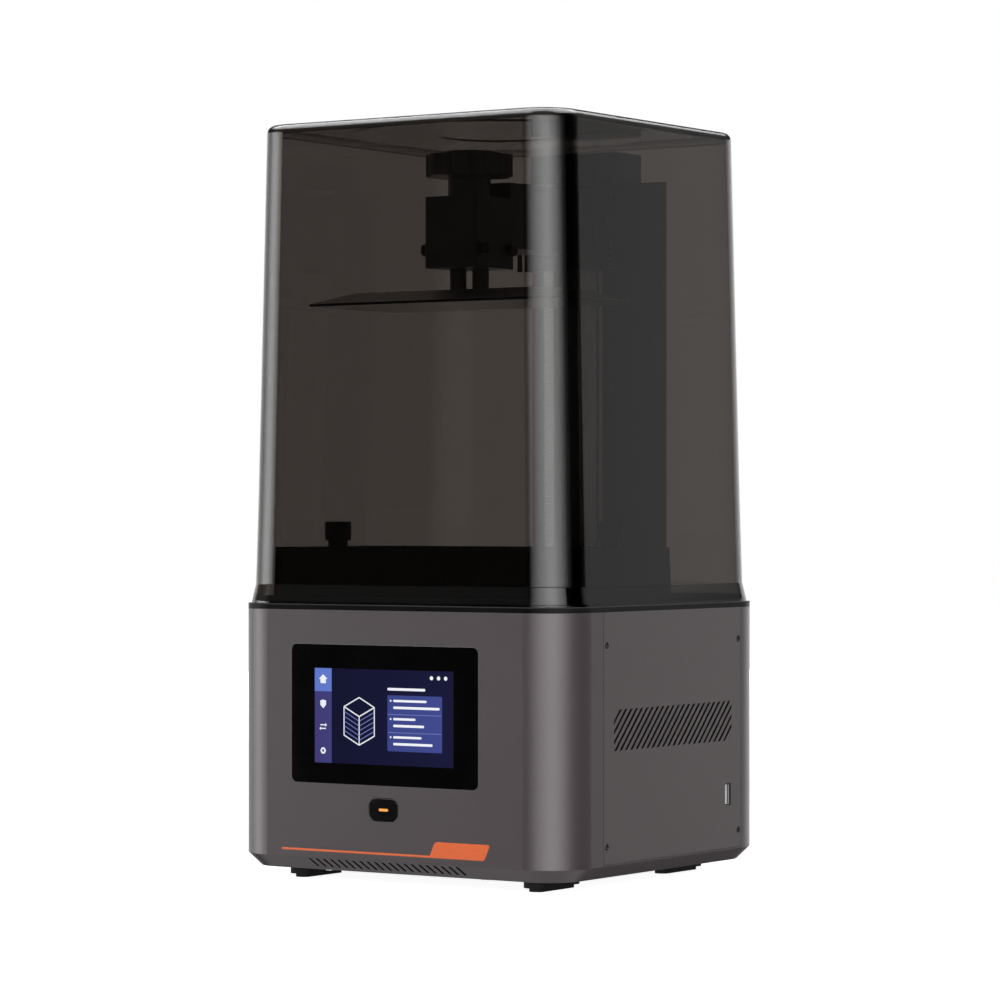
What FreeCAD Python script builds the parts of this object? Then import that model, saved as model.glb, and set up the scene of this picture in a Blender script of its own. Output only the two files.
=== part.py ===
import FreeCAD, Part
import os
import Sketcher

# Desktop resin printer. Millimetres; +X right, front towards -Y, +Z up, ground at z = 0.

doc = FreeCAD.newDocument("resin_printer")
sheet = doc.addObject("Spreadsheet::Sheet", "Sizes")
sheet.Label = "Sizes"


class Size:
    """A length that carries its value and the spreadsheet expression it comes from."""

    def __init__(self, value, text):
        self.value = float(value)
        self.text = text

    def __add__(self, other):
        other = as_size(other)
        return Size(self.value + other.value, "(%s + %s)" % (self.text, other.text))

    def __radd__(self, other):
        return as_size(other) + self

    def __sub__(self, other):
        other = as_size(other)
        return Size(self.value - other.value, "(%s - %s)" % (self.text, other.text))

    def __rsub__(self, other):
        return as_size(other) - self

    def __mul__(self, other):
        other = as_size(other)
        return Size(self.value * other.value, "(%s * %s)" % (self.text, other.text))

    def __rmul__(self, other):
        return as_size(other) * self

    def __truediv__(self, other):
        other = as_size(other)
        return Size(self.value / other.value, "(%s / %s)" % (self.text, other.text))

    def __neg__(self):
        return Size(-self.value, "(0 - %s)" % self.text)


def as_size(value):
    if isinstance(value, Size):
        return value
    return Size(value, "(%s)" % repr(float(value)))


rows = []


def size(alias, value, note):
    rows.append(alias)
    n = len(rows)
    sheet.set("A%d" % n, note)
    sheet.set("B%d" % n, str(value))
    sheet.setAlias("B%d" % n, alias)
    return Size(value, "Sizes." + alias)


# Base
base_w = size("base_w", 236, "base width over the side panels")
base_d = size("base_d", 226, "base depth")
corner_r = size("corner_r", 28, "plan radius of the base corners")
foot_h = size("foot_h", 6.4, "height of the feet")
foot_low = size("foot_low", 2.2, "height of the narrow lower step of a foot")
rim_h = size("rim_h", 7.6, "height of the slanted lower rim")
rim_in = size("rim_in", 8, "inset of the slanted lower rim")
shell_top = size("shell_top", 158.3, "top of the base shell")
wall_t = size("wall_t", 3, "front and rear wall thickness")
side_t = size("side_t", 5, "side wall with its lip")
panel_t = size("panel_t", 2.5, "side panel thickness")
flange_top = size("flange_top", 14, "top of the inner bottom flange")
flange_w = size("flange_w", 18, "width of the inner bottom flange")
plate_lap = size("plate_lap", 6, "lap of the bottom plate under the flange")
plate_t = size("plate_t", 1.5, "bottom plate thickness")
under_side = size("under_side", 55, "bottom screw offset along the sides")
under_front = size("under_front", 55, "bottom screw offset along the front")
foot_w = size("foot_w", 15, "foot width")
foot_len = size("foot_len", 45, "foot length")
foot_step = size("foot_step", 3, "inset of the lower step of a foot")
foot_in = size("foot_in", 35.5, "foot distance from the base sides")
foot_shift = size("foot_shift", 3, "offset of the feet towards the right")
foot_front = size("foot_front", 37, "front foot distance from the front")
foot_rear = size("foot_rear", 53, "rear foot distance from the rear")
seam_front = size("seam_front", 40.8, "front panel seam from the front face")
seam_rear = size("seam_rear", 30.8, "rear panel seam from the rear face")
seam_gap = size("seam_gap", 0.3, "seam width round the side panels")
lip_w = size("lip_w", 9.5, "lip behind the panel edges")
pscrew_in = size("pscrew_in", 3.6, "panel screw distance from the seam")
pscrew_low = size("pscrew_low", 25, "lower panel screw height")
pscrew_drop = size("pscrew_drop", 18.8, "upper panel screw below the shell top")
pscrew_r = size("pscrew_r", 1.9, "panel screw head radius")
pscrew_core = size("pscrew_core", 1.2, "panel screw shank radius")
pscrew_sink = size("pscrew_sink", 1.2, "panel screw seat depth")
pscrew_head = size("pscrew_head", 1.0, "panel screw head height")
grille_in = size("grille_in", 11.2, "grille distance from the panel seams")
grille_z0 = size("grille_z0", 79, "bottom of the side grille")
grille_h = size("grille_h", 23.6, "height of the side grille")
slit_w = size("slit_w", 2.6, "slit width along the panel")
slit_end = size("slit_end", 1.4, "land behind the last full slit")
usb_gap = size("usb_gap", 1.4, "gap between the USB flange and the panel lip")
usb_rim = size("usb_rim", 1.5, "rim of the USB flange")
usb_z = size("usb_z", 47, "USB socket height")
usb_len = size("usb_len", 12.8, "USB shell height")
usb_wid = size("usb_wid", 6.6, "USB shell width")

# Front
front_x = size("front_x", -6, "middle of the front controls")
glass_w = size("glass_w", 132, "front glass width")
glass_h = size("glass_h", 81, "front glass height")
glass_z = size("glass_z", 98, "front glass middle height")
glass_t = size("glass_t", 1.2, "front glass thickness")
bezel_x = size("bezel_x", 14.5, "dark band beside the display")
bezel_z = size("bezel_z", 10.5, "dark band above and below the display")
button_w = size("button_w", 20.4, "power button width")
button_h = size("button_h", 13, "power button height")
button_drop = size("button_drop", 13.8, "power button middle below the glass")
button_r = size("button_r", 5.5, "power button corner radius")
dash_w = size("dash_w", 6.4, "width of the button light")
dash_h = size("dash_h", 1.4, "height of the button light")
button_gap = size("button_gap", 0.4, "gap round the power button")
stripe_z = size("stripe_z", 17.8, "lower edge of the front stripe")
stripe_t = size("stripe_t", 1.2, "stripe height")
stripe_left = size("stripe_left", 73, "left end of the stripe from the middle")
tab_left = size("tab_left", 32, "left end of the slanted tab from the middle")
tab_w = size("tab_w", 38, "width of the slanted tab")
tab_h = size("tab_h", 9.2, "height of the slanted tab")
tab_lean = size("tab_lean", 4, "lean of the slanted tab")
inlay_t = size("inlay_t", 0.5, "inlay depth")
vent_pitch = size("vent_pitch", 5.2, "rim vent pitch")
vent_w = size("vent_w", 1.7, "rim vent width")
vent_lean = size("vent_lean", 1.5, "half lean of the rim vents")

# Deck, masking screen and light
deck_t = size("deck_t", 3.3, "deck thickness")
ridge_gap = size("ridge_gap", 1.2, "gap between the locating ridge and the cover")
ridge_h = size("ridge_h", 4, "locating ridge height")
mid_in = size("mid_in", 80, "middle of vat, platform and light behind the front face")
lcd_in_x = size("lcd_in_x", 4.5, "masking screen inset from the tub sides")
lcd_in_y = size("lcd_in_y", 1.5, "masking screen inset from the tub front")
lcd_t = size("lcd_t", 3.2, "masking screen thickness")
lcd_sink = size("lcd_sink", 1.6, "masking screen seat depth")
win_in_x = size("win_in_x", 6, "seat of the masking screen at its sides")
win_in_y = size("win_in_y", 3, "seat of the masking screen at its front")
lens_t = size("lens_t", 2, "lens thickness")
hood_drop = size("hood_drop", 73.3, "lower end of the light hood below the shell top")
led_w = size("led_w", 66, "lower opening of the light hood")
fin_h = size("fin_h", 28, "heat sink fin height")

# Column and drive
column_x = size("column_x", 2.5, "middle of the column")
column_w = size("column_w", 98.8, "column plate width")
column_in = size("column_in", 14, "front face of the column plate from the rear face")
column_t = size("column_t", 3.5, "column plate thickness")
column_drop = size("column_drop", 26.9, "top of the column plate below the cover top")
foot_t = size("foot_t", 4, "column foot thickness")
foot_d = size("foot_d", 32, "reach of the column foot")
bolt_in = size("bolt_in", 7.4, "column bolt distance from the sides")
bolt_end = size("bolt_end", 6, "column bolt distance from front and rear")
cap_w = size("cap_w", 65.8, "column cap width")
cap_h = size("cap_h", 17, "column cap height")
cap_d = size("cap_d", 29, "reach of the column cap")
rail_w = size("rail_w", 14, "rail width")
rail_t = size("rail_t", 10, "rail depth")
rail_gap = size("rail_gap", 14.4, "lower end of the rail above the deck")
rail_bolt_r = size("rail_bolt_r", 3.2, "rail bolt head radius")
rail_bolt_in = size("rail_bolt_in", 5.2, "rail bolt seat depth")
rail_bolt_t = size("rail_bolt_t", 4, "rail bolt head height")
rail_bolt_end = size("rail_bolt_end", 10, "first rail bolt from the rail end")
screw_gap = size("screw_gap", 9.2, "lead screw beside the carriage")
screw_in = size("screw_in", 15, "lead screw in front of the column plate")
screw_r = size("screw_r", 4, "lead screw radius")
nut_wall = size("nut_wall", 2, "lead nut wall")
run_gap = size("run_gap", 0.05, "running clearance")
motor_w = size("motor_w", 42.3, "motor width")
motor_h = size("motor_h", 40, "motor height")

# Lift arm and platform
arm_drop = size("arm_drop", 3.5, "arm bracket below the column top")
arm_h = size("arm_h", 50, "arm bracket height")
wing_out = size("wing_out", 18, "arm bracket beyond the lead screw")
wing_in = size("wing_in", 18, "arm bracket beyond the rail middle")
truck_side = size("truck_side", 6.5, "carriage beside the rail")
truck_t = size("truck_t", 7, "carriage in front of the rail")
bracket_t = size("bracket_t", 6, "arm bracket thickness")
beam_w = size("beam_w", 30, "arm beam width")
beam_under = size("beam_under", 9, "arm beam below the tongue")
beam_over = size("beam_over", 18, "arm beam above the tongue")
tongue_w = size("tongue_w", 19.8, "tongue width")
tongue_t = size("tongue_t", 12, "tongue thickness")
tongue_drop = size("tongue_drop", 21, "top of the tongue below the bracket top")
head_w = size("head_w", 37, "platform head width")
head_d = size("head_d", 42, "platform head depth")
head_wall = size("head_wall", 8, "front wall of the platform head")
head_under = size("head_under", 7, "platform head below the tongue")
head_over = size("head_over", 8, "platform head above the tongue")
level_h = size("level_h", 15, "levelling block height")
level_r = size("level_r", 3.6, "levelling screw head radius")
level_core = size("level_core", 2, "levelling screw shank radius")
level_out = size("level_out", 4, "levelling screw head height")
level_in = size("level_in", 6, "levelling screw depth")
level_span = size("level_span", 14.5, "levelling screw offset")
level_rise = size("level_rise", 3.5, "levelling screws above the block middle")
post_r = size("post_r", 4.9, "plate post radius")
post_x = size("post_x", 8, "plate post offset")
post_h = size("post_h", 13.4, "plate post height")
bed_in_x = size("bed_in_x", 2.5, "gap between build plate and tub sides")
bed_in_y = size("bed_in_y", 5, "gap between build plate and tub front")
bed_t = size("bed_t", 8.4, "build plate thickness")
bed_edge = size("bed_edge", 1.6, "edge thickness of the build plate")
bed_slope = size("bed_slope", 20, "width of the sloped top")
knob_r = size("knob_r", 25.7, "clamp knob radius")
knob_gap = size("knob_gap", 12.5, "clamp knob above the platform head")
knob_h = size("knob_h", 12.8, "clamp knob height")
neck_r = size("neck_r", 12.6, "clamp knob neck radius")
stud_r = size("stud_r", 4, "clamp stud radius")

# Vat
vat_gap = size("vat_gap", 9.5, "vat distance from the base sides")
vat_d = size("vat_d", 106, "vat depth")
vat_h = size("vat_h", 32.9, "vat height")
vat_end = size("vat_end", 20, "solid ends of the vat")
vat_wall = size("vat_wall", 4, "front and rear vat walls")
frame_in_x = size("frame_in_x", 7, "film frame inset at the vat ends")
frame_in_y = size("frame_in_y", 1.3, "film frame inset at the vat front")
film_frame_t = size("film_frame_t", 2.1, "film frame thickness")
film_t = size("film_t", 0.3, "release film thickness")
film_bolt_in = size("film_bolt_in", 5.4, "film screw distance from the frame ends")
film_bolt_y = size("film_bolt_y", 15, "film screw distance from the vat front")
thumb_in = size("thumb_in", 5.3, "thumb screw distance from the frame ends")
thumb_r = size("thumb_r", 8, "thumb screw head radius")
thumb_core = size("thumb_core", 2.5, "thumb screw stem radius")
thumb_h = size("thumb_h", 15, "thumb screw height above the vat")

# Cover
cover_in = size("cover_in", 2, "inset of the skirt from the base edge")
skirt_h = size("skirt_h", 12.4, "skirt height")
skirt_in = size("skirt_in", 2.4, "inward flare of the skirt")
taper_x = size("taper_x", 6.4, "taper of each side")
taper_y = size("taper_y", 3, "taper of front and rear")
cover_top = size("cover_top", 444.4, "top of the cover")
cover_t = size("cover_t", 2.5, "cover wall")
roof_t = size("roof_t", 3, "cover roof")
edge_r = size("edge_r", 5, "rounding of the top edge")
ring_out = size("ring_out", 87, "outer radius of the roof dish")
ring_in = size("ring_in", 40, "inner radius of the roof dish")
ring_t = size("ring_t", 3.2, "depth of the roof dish")
ring_wall = size("ring_wall", 2.5, "wall round the roof dish")

# Rear
fan_x = size("fan_x", 45, "fan position")
fan_z = size("fan_z", 72, "fan height")
fan_w = size("fan_w", 60, "fan frame width")
fan_t = size("fan_t", 15, "fan thickness")
inlet_x = size("inlet_x", -66, "power inlet position")
inlet_z = size("inlet_z", 40, "power inlet height")
board_w = size("board_w", 116, "main board width")
board_d = size("board_d", 76, "main board depth")
board_t = size("board_t", 1.6, "main board thickness")
board_gap = size("board_gap", 22, "main board in front of the rear wall")
board_in = size("board_in", 6, "board post distance from the board edges")
board_up = size("board_up", 10, "board post height")

doc.recompute()

front_y = base_d / -2
rear_y = base_d / 2
inner_f = front_y + wall_t
inner_r = rear_y - wall_t
open_w = base_w - flange_w * 2
open_d = base_d - flange_w * 2
seam_f = front_y + seam_front
seam_r = rear_y - seam_rear
pscrew_high = shell_top - pscrew_drop
grille_y0 = seam_f + grille_in
grille_y1 = seam_r - grille_in
slit_pitch = (grille_y1 - grille_y0 - grille_h - slit_w - slit_end) / 18
usb_y = seam_r - lip_w - usb_gap - usb_rim - usb_wid / 2
disp_w = glass_w - bezel_x * 2
disp_h = glass_h - bezel_z * 2
button_z = glass_z - glass_h / 2 - button_drop

deck_top = shell_top + deck_t
ridge_in = cover_in + cover_t + ridge_gap
mid_y = front_y + mid_in
vat_w = base_w - vat_gap * 2
tub_w = vat_w - vat_end * 2
tub_d = vat_d - vat_wall * 2
film_frame_w = vat_w - frame_in_x * 2
film_frame_d = vat_d - frame_in_y * 2
thumb_x = film_frame_w / 2 - thumb_in
lcd_w = tub_w - lcd_in_x * 2
lcd_d = tub_d - lcd_in_y * 2
win_w = lcd_w - win_in_x * 2
win_d = lcd_d - win_in_y * 2
hood_low = shell_top - hood_drop

column_y = rear_y - column_in
column_top = cover_top - column_drop
foot_y = column_y - foot_d
cap_y = column_y - cap_d
rail_low = deck_top + rail_gap
truck_w = rail_w + truck_side * 2
truck_y = column_y - rail_t - truck_t
screw_x = column_x - truck_w / 2 - screw_gap
screw_y = column_y - screw_in
nut_r = screw_r + nut_wall
arm_high = column_top - arm_drop
arm_low = arm_high - arm_h
tongue_high = arm_high - tongue_drop
tongue_low = tongue_high - tongue_t
beam_high = tongue_high + beam_over
beam_low = tongue_low - beam_under
head_high = tongue_high + head_over
head_low = tongue_low - head_under
level_low = head_low - level_h
bed_top = level_low - post_h
bed_low = bed_top - bed_t
bed_w = tub_w - bed_in_x * 2
bed_d = tub_d - bed_in_y * 2
knob_low = head_high + knob_gap
knob_high = knob_low + knob_h
cover_r = corner_r - cover_in
nodes = []


def put(obj, prop, value):
    obj.setExpression(prop, as_size(value).text)


def axis_plane(body, role):
    return [f for f in body.Origin.OriginFeatures if f.Role == role][0]


def new_body(label):
    body = doc.addObject("PartDesign::Body", label)
    body.Label = label
    return body


def sketch(body, role, level):
    """Sketch across the body: XY at height z, XZ at depth y, YZ at offset x."""
    sk = body.newObject("Sketcher::SketchObject", body.Label + "_outline")
    sk.AttachmentSupport = [(axis_plane(body, role), "")]
    sk.MapMode = "FlatFace"
    put(sk, "AttachmentOffset.Base.z", -as_size(level) if role == "XZ_Plane" else level)
    return sk


def rule(sk, kind, refs, value):
    value = as_size(value)
    n = sk.addConstraint(Sketcher.Constraint(kind, *refs, value.value))
    sk.renameConstraint(n, "len%d" % n)
    sk.setExpression("Constraints.len%d" % n, value.text)


def at(sk, geo, pos, x, y):
    """Fixes one point of the sketch."""
    for kind, line, value in (("DistanceX", -2, x), ("DistanceY", -1, y)):
        if as_size(value).value == 0:
            sk.addConstraint(Sketcher.Constraint("PointOnObject", geo, pos, line))
        else:
            rule(sk, kind, (geo, pos), value)


def circle(sk, x, y, r):
    x, y, r = as_size(x), as_size(y), as_size(r)
    geo = sk.addGeometry(Part.Circle(FreeCAD.Vector(x.value, y.value, 0), FreeCAD.Vector(0, 0, 1), r.value))
    rule(sk, "Radius", (geo,), r)
    at(sk, geo, 3, x, y)


def polygon(sk, points):
    points = [(as_size(x), as_size(y)) for x, y in points]
    first = sk.GeometryCount
    count = len(points)
    for i in range(count):
        a, b = points[i], points[(i + 1) % count]
        start = FreeCAD.Vector(a[0].value, a[1].value, 0)
        sk.addGeometry(Part.LineSegment(start, FreeCAD.Vector(b[0].value, b[1].value, 0)))
    for i in range(count):
        after = first + (i + 1) % count
        sk.addConstraint(Sketcher.Constraint("Coincident", first + i, 2, after, 1))
    for i in range(count):
        at(sk, first + i, 1, points[i][0], points[i][1])


def soften(before, corner, after, near, far):
    """Three points that round a corner: shares of the way towards its two neighbours."""
    ways = ((near, 0), (near * 0.28, far * 0.28), (0, far))
    points = []
    for a, b in ways:
        points.append(tuple(as_size(c) + (as_size(p) - c) * a + (as_size(q) - c) * b
                            for p, c, q in zip(before, corner, after)))
    return points


def oblong(sk, x, y, w, d, r):
    """Rectangle with rounded corners round the middle (x, y)."""
    x, y, w, d, r = [as_size(v) for v in (x, y, w, d, r)]
    x0, x1 = x.value - w.value / 2, x.value + w.value / 2
    y0, y1 = y.value - d.value / 2, y.value + d.value / 2
    k = r.value
    vec = FreeCAD.Vector
    first = sk.GeometryCount
    lines = (((x0 + k, y0), (x1 - k, y0)), ((x1, y0 + k), (x1, y1 - k)),
             ((x1 - k, y1), (x0 + k, y1)), ((x0, y1 - k), (x0, y0 + k)))
    middles = ((x1 - k, y0 + k), (x1 - k, y1 - k), (x0 + k, y1 - k), (x0 + k, y0 + k))
    quarter = 1.5707963267948966
    for i in range(4):
        a, b = lines[i]
        sk.addGeometry(Part.LineSegment(vec(a[0], a[1], 0), vec(b[0], b[1], 0)))
    for i in range(4):
        ring = Part.Circle(vec(middles[i][0], middles[i][1], 0), vec(0, 0, 1), k)
        sk.addGeometry(Part.ArcOfCircle(ring, quarter * (i - 1), quarter * i))
    for i in range(4):
        sk.addConstraint(Sketcher.Constraint("Tangent", first + i, 2, first + 4 + i, 1))
        sk.addConstraint(Sketcher.Constraint("Tangent", first + 4 + i, 2, first + (i + 1) % 4, 1))
        sk.addConstraint(Sketcher.Constraint("Horizontal" if i % 2 == 0 else "Vertical", first + i))
    for i in range(1, 4):
        sk.addConstraint(Sketcher.Constraint("Equal", first + 4, first + 4 + i))
    rule(sk, "Radius", (first + 4,), r)
    rule(sk, "DistanceX", (first + 3, 1, first + 1, 1), w)
    rule(sk, "DistanceY", (first, 1, first + 2, 1), d)
    rule(sk, "DistanceX", (first + 3, 1), x - w / 2)
    rule(sk, "DistanceY", (first, 1), y - d / 2)


def pad(body, sk, length, back=False):
    step = body.newObject("PartDesign::Pad", body.Label + "_pad")
    step.Profile = sk
    step.Reversed = back
    put(step, "Length", length)
    sk.Visibility = False
    return step


def pocket(body, sk, length, back=False):
    step = body.newObject("PartDesign::Pocket", body.Label + "_pocket")
    step.Profile = sk
    step.Reversed = back
    put(step, "Length", length)
    sk.Visibility = False
    return step


def loft(body, kind, sections):
    step = body.newObject("PartDesign::" + kind, body.Label + "_loft")
    step.Profile = sections[0]
    step.Sections = sections[1:]
    step.Ruled = True
    for sk in sections:
        sk.Visibility = False
    return step


def row_of(body, step, axis, count, pitch):
    """Repeats a step in a straight row."""
    many = body.newObject("PartDesign::LinearPattern", body.Label + "_row")
    many.Originals = [step]
    many.Direction = (axis_plane(body, axis), [""])
    many.Occurrences = count
    put(many, "Length", as_size(pitch) * (count - 1))
    body.Tip = many
    return many


def ring_of(body, step, axis, count):
    """Repeats a step round an axis through the origin."""
    many = body.newObject("PartDesign::PolarPattern", body.Label + "_ring")
    many.Originals = [step]
    many.Axis = (axis_plane(body, axis), [""])
    many.Angle = 360
    many.Occurrences = count
    body.Tip = many
    return many


def plate(body, z, x, y, w, d, r, height):
    """Rounded plate standing on height z."""
    sk = sketch(body, "XY_Plane", z)
    oblong(sk, x, y, w, d, r)
    return pad(body, sk, height)


def well(body, z, x, y, w, d, r, depth):
    """Rounded well sunk from height z."""
    sk = sketch(body, "XY_Plane", z)
    oblong(sk, x, y, w, d, r)
    return pocket(body, sk, depth)


def holes(body, z, spots, r, depth, back=False):
    """Round holes sunk from height z, or raised from it."""
    sk = sketch(body, "XY_Plane", z)
    for x, y in spots:
        circle(sk, x, y, r)
    return pocket(body, sk, depth, back)


def place(obj, x, y, z, turn=None):
    if turn:
        obj.Placement = FreeCAD.Placement(FreeCAD.Vector(0, 0, 0), FreeCAD.Rotation(FreeCAD.Vector(*turn[0]), turn[1]))
    put(obj, "Placement.Base.x", x)
    put(obj, "Placement.Base.y", y)
    put(obj, "Placement.Base.z", z)


def block(label, xs, ys, zs):
    box = doc.addObject("Part::Box", label)
    box.Label = label
    put(box, "Length", as_size(xs[1]) - xs[0])
    put(box, "Width", as_size(ys[1]) - ys[0])
    put(box, "Height", as_size(zs[1]) - zs[0])
    place(box, xs[0], ys[0], zs[0])
    return box


def rod(label, axis, x, y, z, r, length):
    """Cylinder that runs from (x, y, z) along +X, -X, +Y, -Y, +Z or -Z."""
    turns = {"z": None, "-z": ((1, 0, 0), 180), "y": ((1, 0, 0), -90), "-y": ((1, 0, 0), 90),
             "x": ((0, 1, 0), 90), "-x": ((0, 1, 0), -90)}
    bar = doc.addObject("Part::Cylinder", label)
    bar.Label = label
    put(bar, "Radius", r)
    put(bar, "Height", length)
    place(bar, x, y, z, turns[axis])
    return bar


def join(label, parts):
    both = doc.addObject("Part::MultiFuse", label)
    both.Label = label
    both.Shapes = parts
    both.Refine = True
    return both


def cut(label, base, tools):
    tool = tools[0] if len(tools) == 1 else join(label + "_tools", tools)
    rest = doc.addObject("Part::Cut", label)
    rest.Label = label
    rest.Base = base
    rest.Tool = tool
    rest.Refine = True
    return rest


def group(label, parts):
    many = doc.addObject("Part::Compound", label)
    many.Label = label
    many.Links = parts
    return many


def screws(label, spots, axis, head_r, head_t, shank_r, shank_t):
    """Identical screws; each spot is the underside of the head, the shank runs along the axis."""
    back = axis[1:] if axis[0] == "-" else "-" + axis
    parts = []
    for i, (x, y, z) in enumerate(spots):
        head = rod("%s_head%d" % (label, i), back, x, y, z, head_r, head_t)
        shank = rod("%s_shank%d" % (label, i), axis, x, y, z, shank_r, shank_t)
        parts.append(join("%s_one%d" % (label, i), [head, shank]))
    return group(label, parts)


# Base shell: rounded tub with a slanted lower rim, side openings, front window and rear grille
shell = new_body("base_shell")
low = sketch(shell, "XY_Plane", foot_h)
oblong(low, 0, 0, base_w - rim_in * 2, base_d - rim_in * 2, corner_r - rim_in)
high = sketch(shell, "XY_Plane", foot_h + rim_h)
oblong(high, 0, 0, base_w, base_d, corner_r)
loft(shell, "AdditiveLoft", [low, high])
plate(shell, foot_h + rim_h, 0, 0, base_w, base_d, corner_r, shell_top - foot_h - rim_h)
well(shell, shell_top, 0, 0, base_w - side_t * 2, base_d - wall_t * 2, corner_r - side_t, shell_top - flange_top)
well(shell, flange_top, 0, 0, open_w, open_d, 10, flange_top - foot_h)
sk = sketch(shell, "XY_Plane", foot_h)
oblong(sk, 0, 0, open_w + plate_lap * 2, open_d + plate_lap * 2, 12)
pocket(shell, sk, plate_t, True)
panel_low = foot_h + rim_h + 0.6
for sign in (1, -1):
    sk = sketch(shell, "YZ_Plane", base_w / 2 * sign)
    polygon(sk, [(seam_f, panel_low), (seam_r, panel_low), (seam_r, shell_top + 1), (seam_f, shell_top + 1)])
    pocket(shell, sk, panel_t, sign < 0)
    sk = sketch(shell, "YZ_Plane", base_w / 2 * sign)
    inner_low = panel_low + lip_w
    inner_high = shell_top - lip_w
    polygon(sk, [(seam_f + lip_w, inner_low), (seam_r - lip_w, inner_low),
                 (seam_r - lip_w, inner_high), (seam_f + lip_w, inner_high)])
    pocket(shell, sk, side_t + 1, sign < 0)
    sk = sketch(shell, "YZ_Plane", base_w / 2 * sign)
    for y in (seam_f + pscrew_in, seam_r - pscrew_in):
        for z in (pscrew_low, pscrew_high):
            circle(sk, y, z, pscrew_core)
    pocket(shell, sk, side_t + 1, sign < 0)
sk = sketch(shell, "XZ_Plane", front_y)
oblong(sk, front_x, glass_z, glass_w, glass_h, 4)
pocket(shell, sk, glass_t)
sk = sketch(shell, "XZ_Plane", front_y)
oblong(sk, front_x, glass_z, disp_w, disp_h, 2)
pocket(shell, sk, wall_t + 1)
sk = sketch(shell, "XZ_Plane", front_y)
oblong(sk, front_x, button_z, button_w + button_gap * 2, button_h + button_gap * 2, button_r + button_gap)
pocket(shell, sk, wall_t + 1)
tab_x0 = front_x + tab_left
tab_x1 = tab_x0 + tab_w
tab_top = stripe_z + tab_h
foot_right = (tab_x1, stripe_z)
top_right = (tab_x1 + tab_lean, tab_top)
top_left = (tab_x0 + tab_lean, tab_top)
root = (tab_x0 + tab_lean * stripe_t / tab_h, stripe_z + stripe_t)
stripe_pts = [(front_x - stripe_left, stripe_z)]
stripe_pts += soften((tab_x0, stripe_z), foot_right, top_right, 0.04, 0.16)
stripe_pts += soften(foot_right, top_right, top_left, 0.16, 0.04)
stripe_pts += soften(top_right, top_left, root, 0.05, 0.2)
stripe_pts += [root, (front_x - stripe_left, stripe_z + stripe_t)]
sk = sketch(shell, "XZ_Plane", front_y)
polygon(sk, stripe_pts)
pocket(shell, sk, inlay_t)
sk = sketch(shell, "XZ_Plane", front_y)
vent_x = front_x - vent_pitch * 10
vent_low = foot_h + plate_t + 0.5
vent_high = foot_h + rim_h - 0.6
polygon(sk, [(vent_x - vent_w / 2 + vent_lean, vent_low), (vent_x + vent_w / 2 + vent_lean, vent_low),
             (vent_x + vent_w / 2 - vent_lean, vent_high), (vent_x - vent_w / 2 - vent_lean, vent_high)])
row_of(shell, pocket(shell, sk, (base_d - open_d) / 2 + 1), "X_Axis", 21, vent_pitch)
sk = sketch(shell, "XZ_Plane", rear_y)
oblong(sk, fan_x - fan_w * 0.4, fan_z, fan_w * 0.05, fan_w - 14, fan_w * 0.023)
row_of(shell, pocket(shell, sk, wall_t + 1, True), "X_Axis", 9, fan_w * 0.1)
sk = sketch(shell, "XZ_Plane", rear_y)
circle(sk, inlet_x, inlet_z, 5.5)
pocket(shell, sk, wall_t + 1, True)
ledge_x = open_w / 2 + plate_lap / 2
ledge_y = open_d / 2 + plate_lap / 2
under = [(ledge_x, under_side), (ledge_x, -under_side), (-ledge_x, under_side), (-ledge_x, -under_side),
         (under_side, ledge_y), (-under_side, ledge_y), (under_front, -ledge_y), (-under_front, -ledge_y)]
holes(shell, foot_h + plate_t, under, 1.5, 4, True)
nodes.append(shell)

bottom = new_body("bottom_plate")
plate(bottom, foot_h, 0, 0, open_w + plate_lap * 2 - 0.4, open_d + plate_lap * 2 - 0.4, 11.8, plate_t)
holes(bottom, foot_h + plate_t, under, 1.5, plate_t + 1)
sk = sketch(bottom, "XY_Plane", foot_h + plate_t)
oblong(sk, -36, -20, 4, 70, 1.9)
row_of(bottom, pocket(bottom, sk, plate_t + 1), "X_Axis", 9, 9)
nodes.append(bottom)

nodes.append(screws("bottom_screws", [(x, y, foot_h) for x, y in under], "z", 2.8, 0.8, 1.5, 5))

feet = []
foot_half = base_w / 2 - foot_in
for name, sign, y in (("fl", -1, front_y + foot_front), ("fr", 1, front_y + foot_front),
                      ("rl", -1, rear_y - foot_rear), ("rr", 1, rear_y - foot_rear)):
    foot = new_body("foot_" + name)
    x = foot_half * sign + foot_shift
    plate(foot, foot_low, x, y, foot_w, foot_len, foot_w * 0.46, foot_h - foot_low)
    step_w = foot_w - foot_step * 2
    plate(foot, 0, x, y, step_w, foot_len - foot_step * 2, step_w * 0.46, foot_low)
    feet.append(foot)
nodes.append(group("feet", feet))

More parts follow.
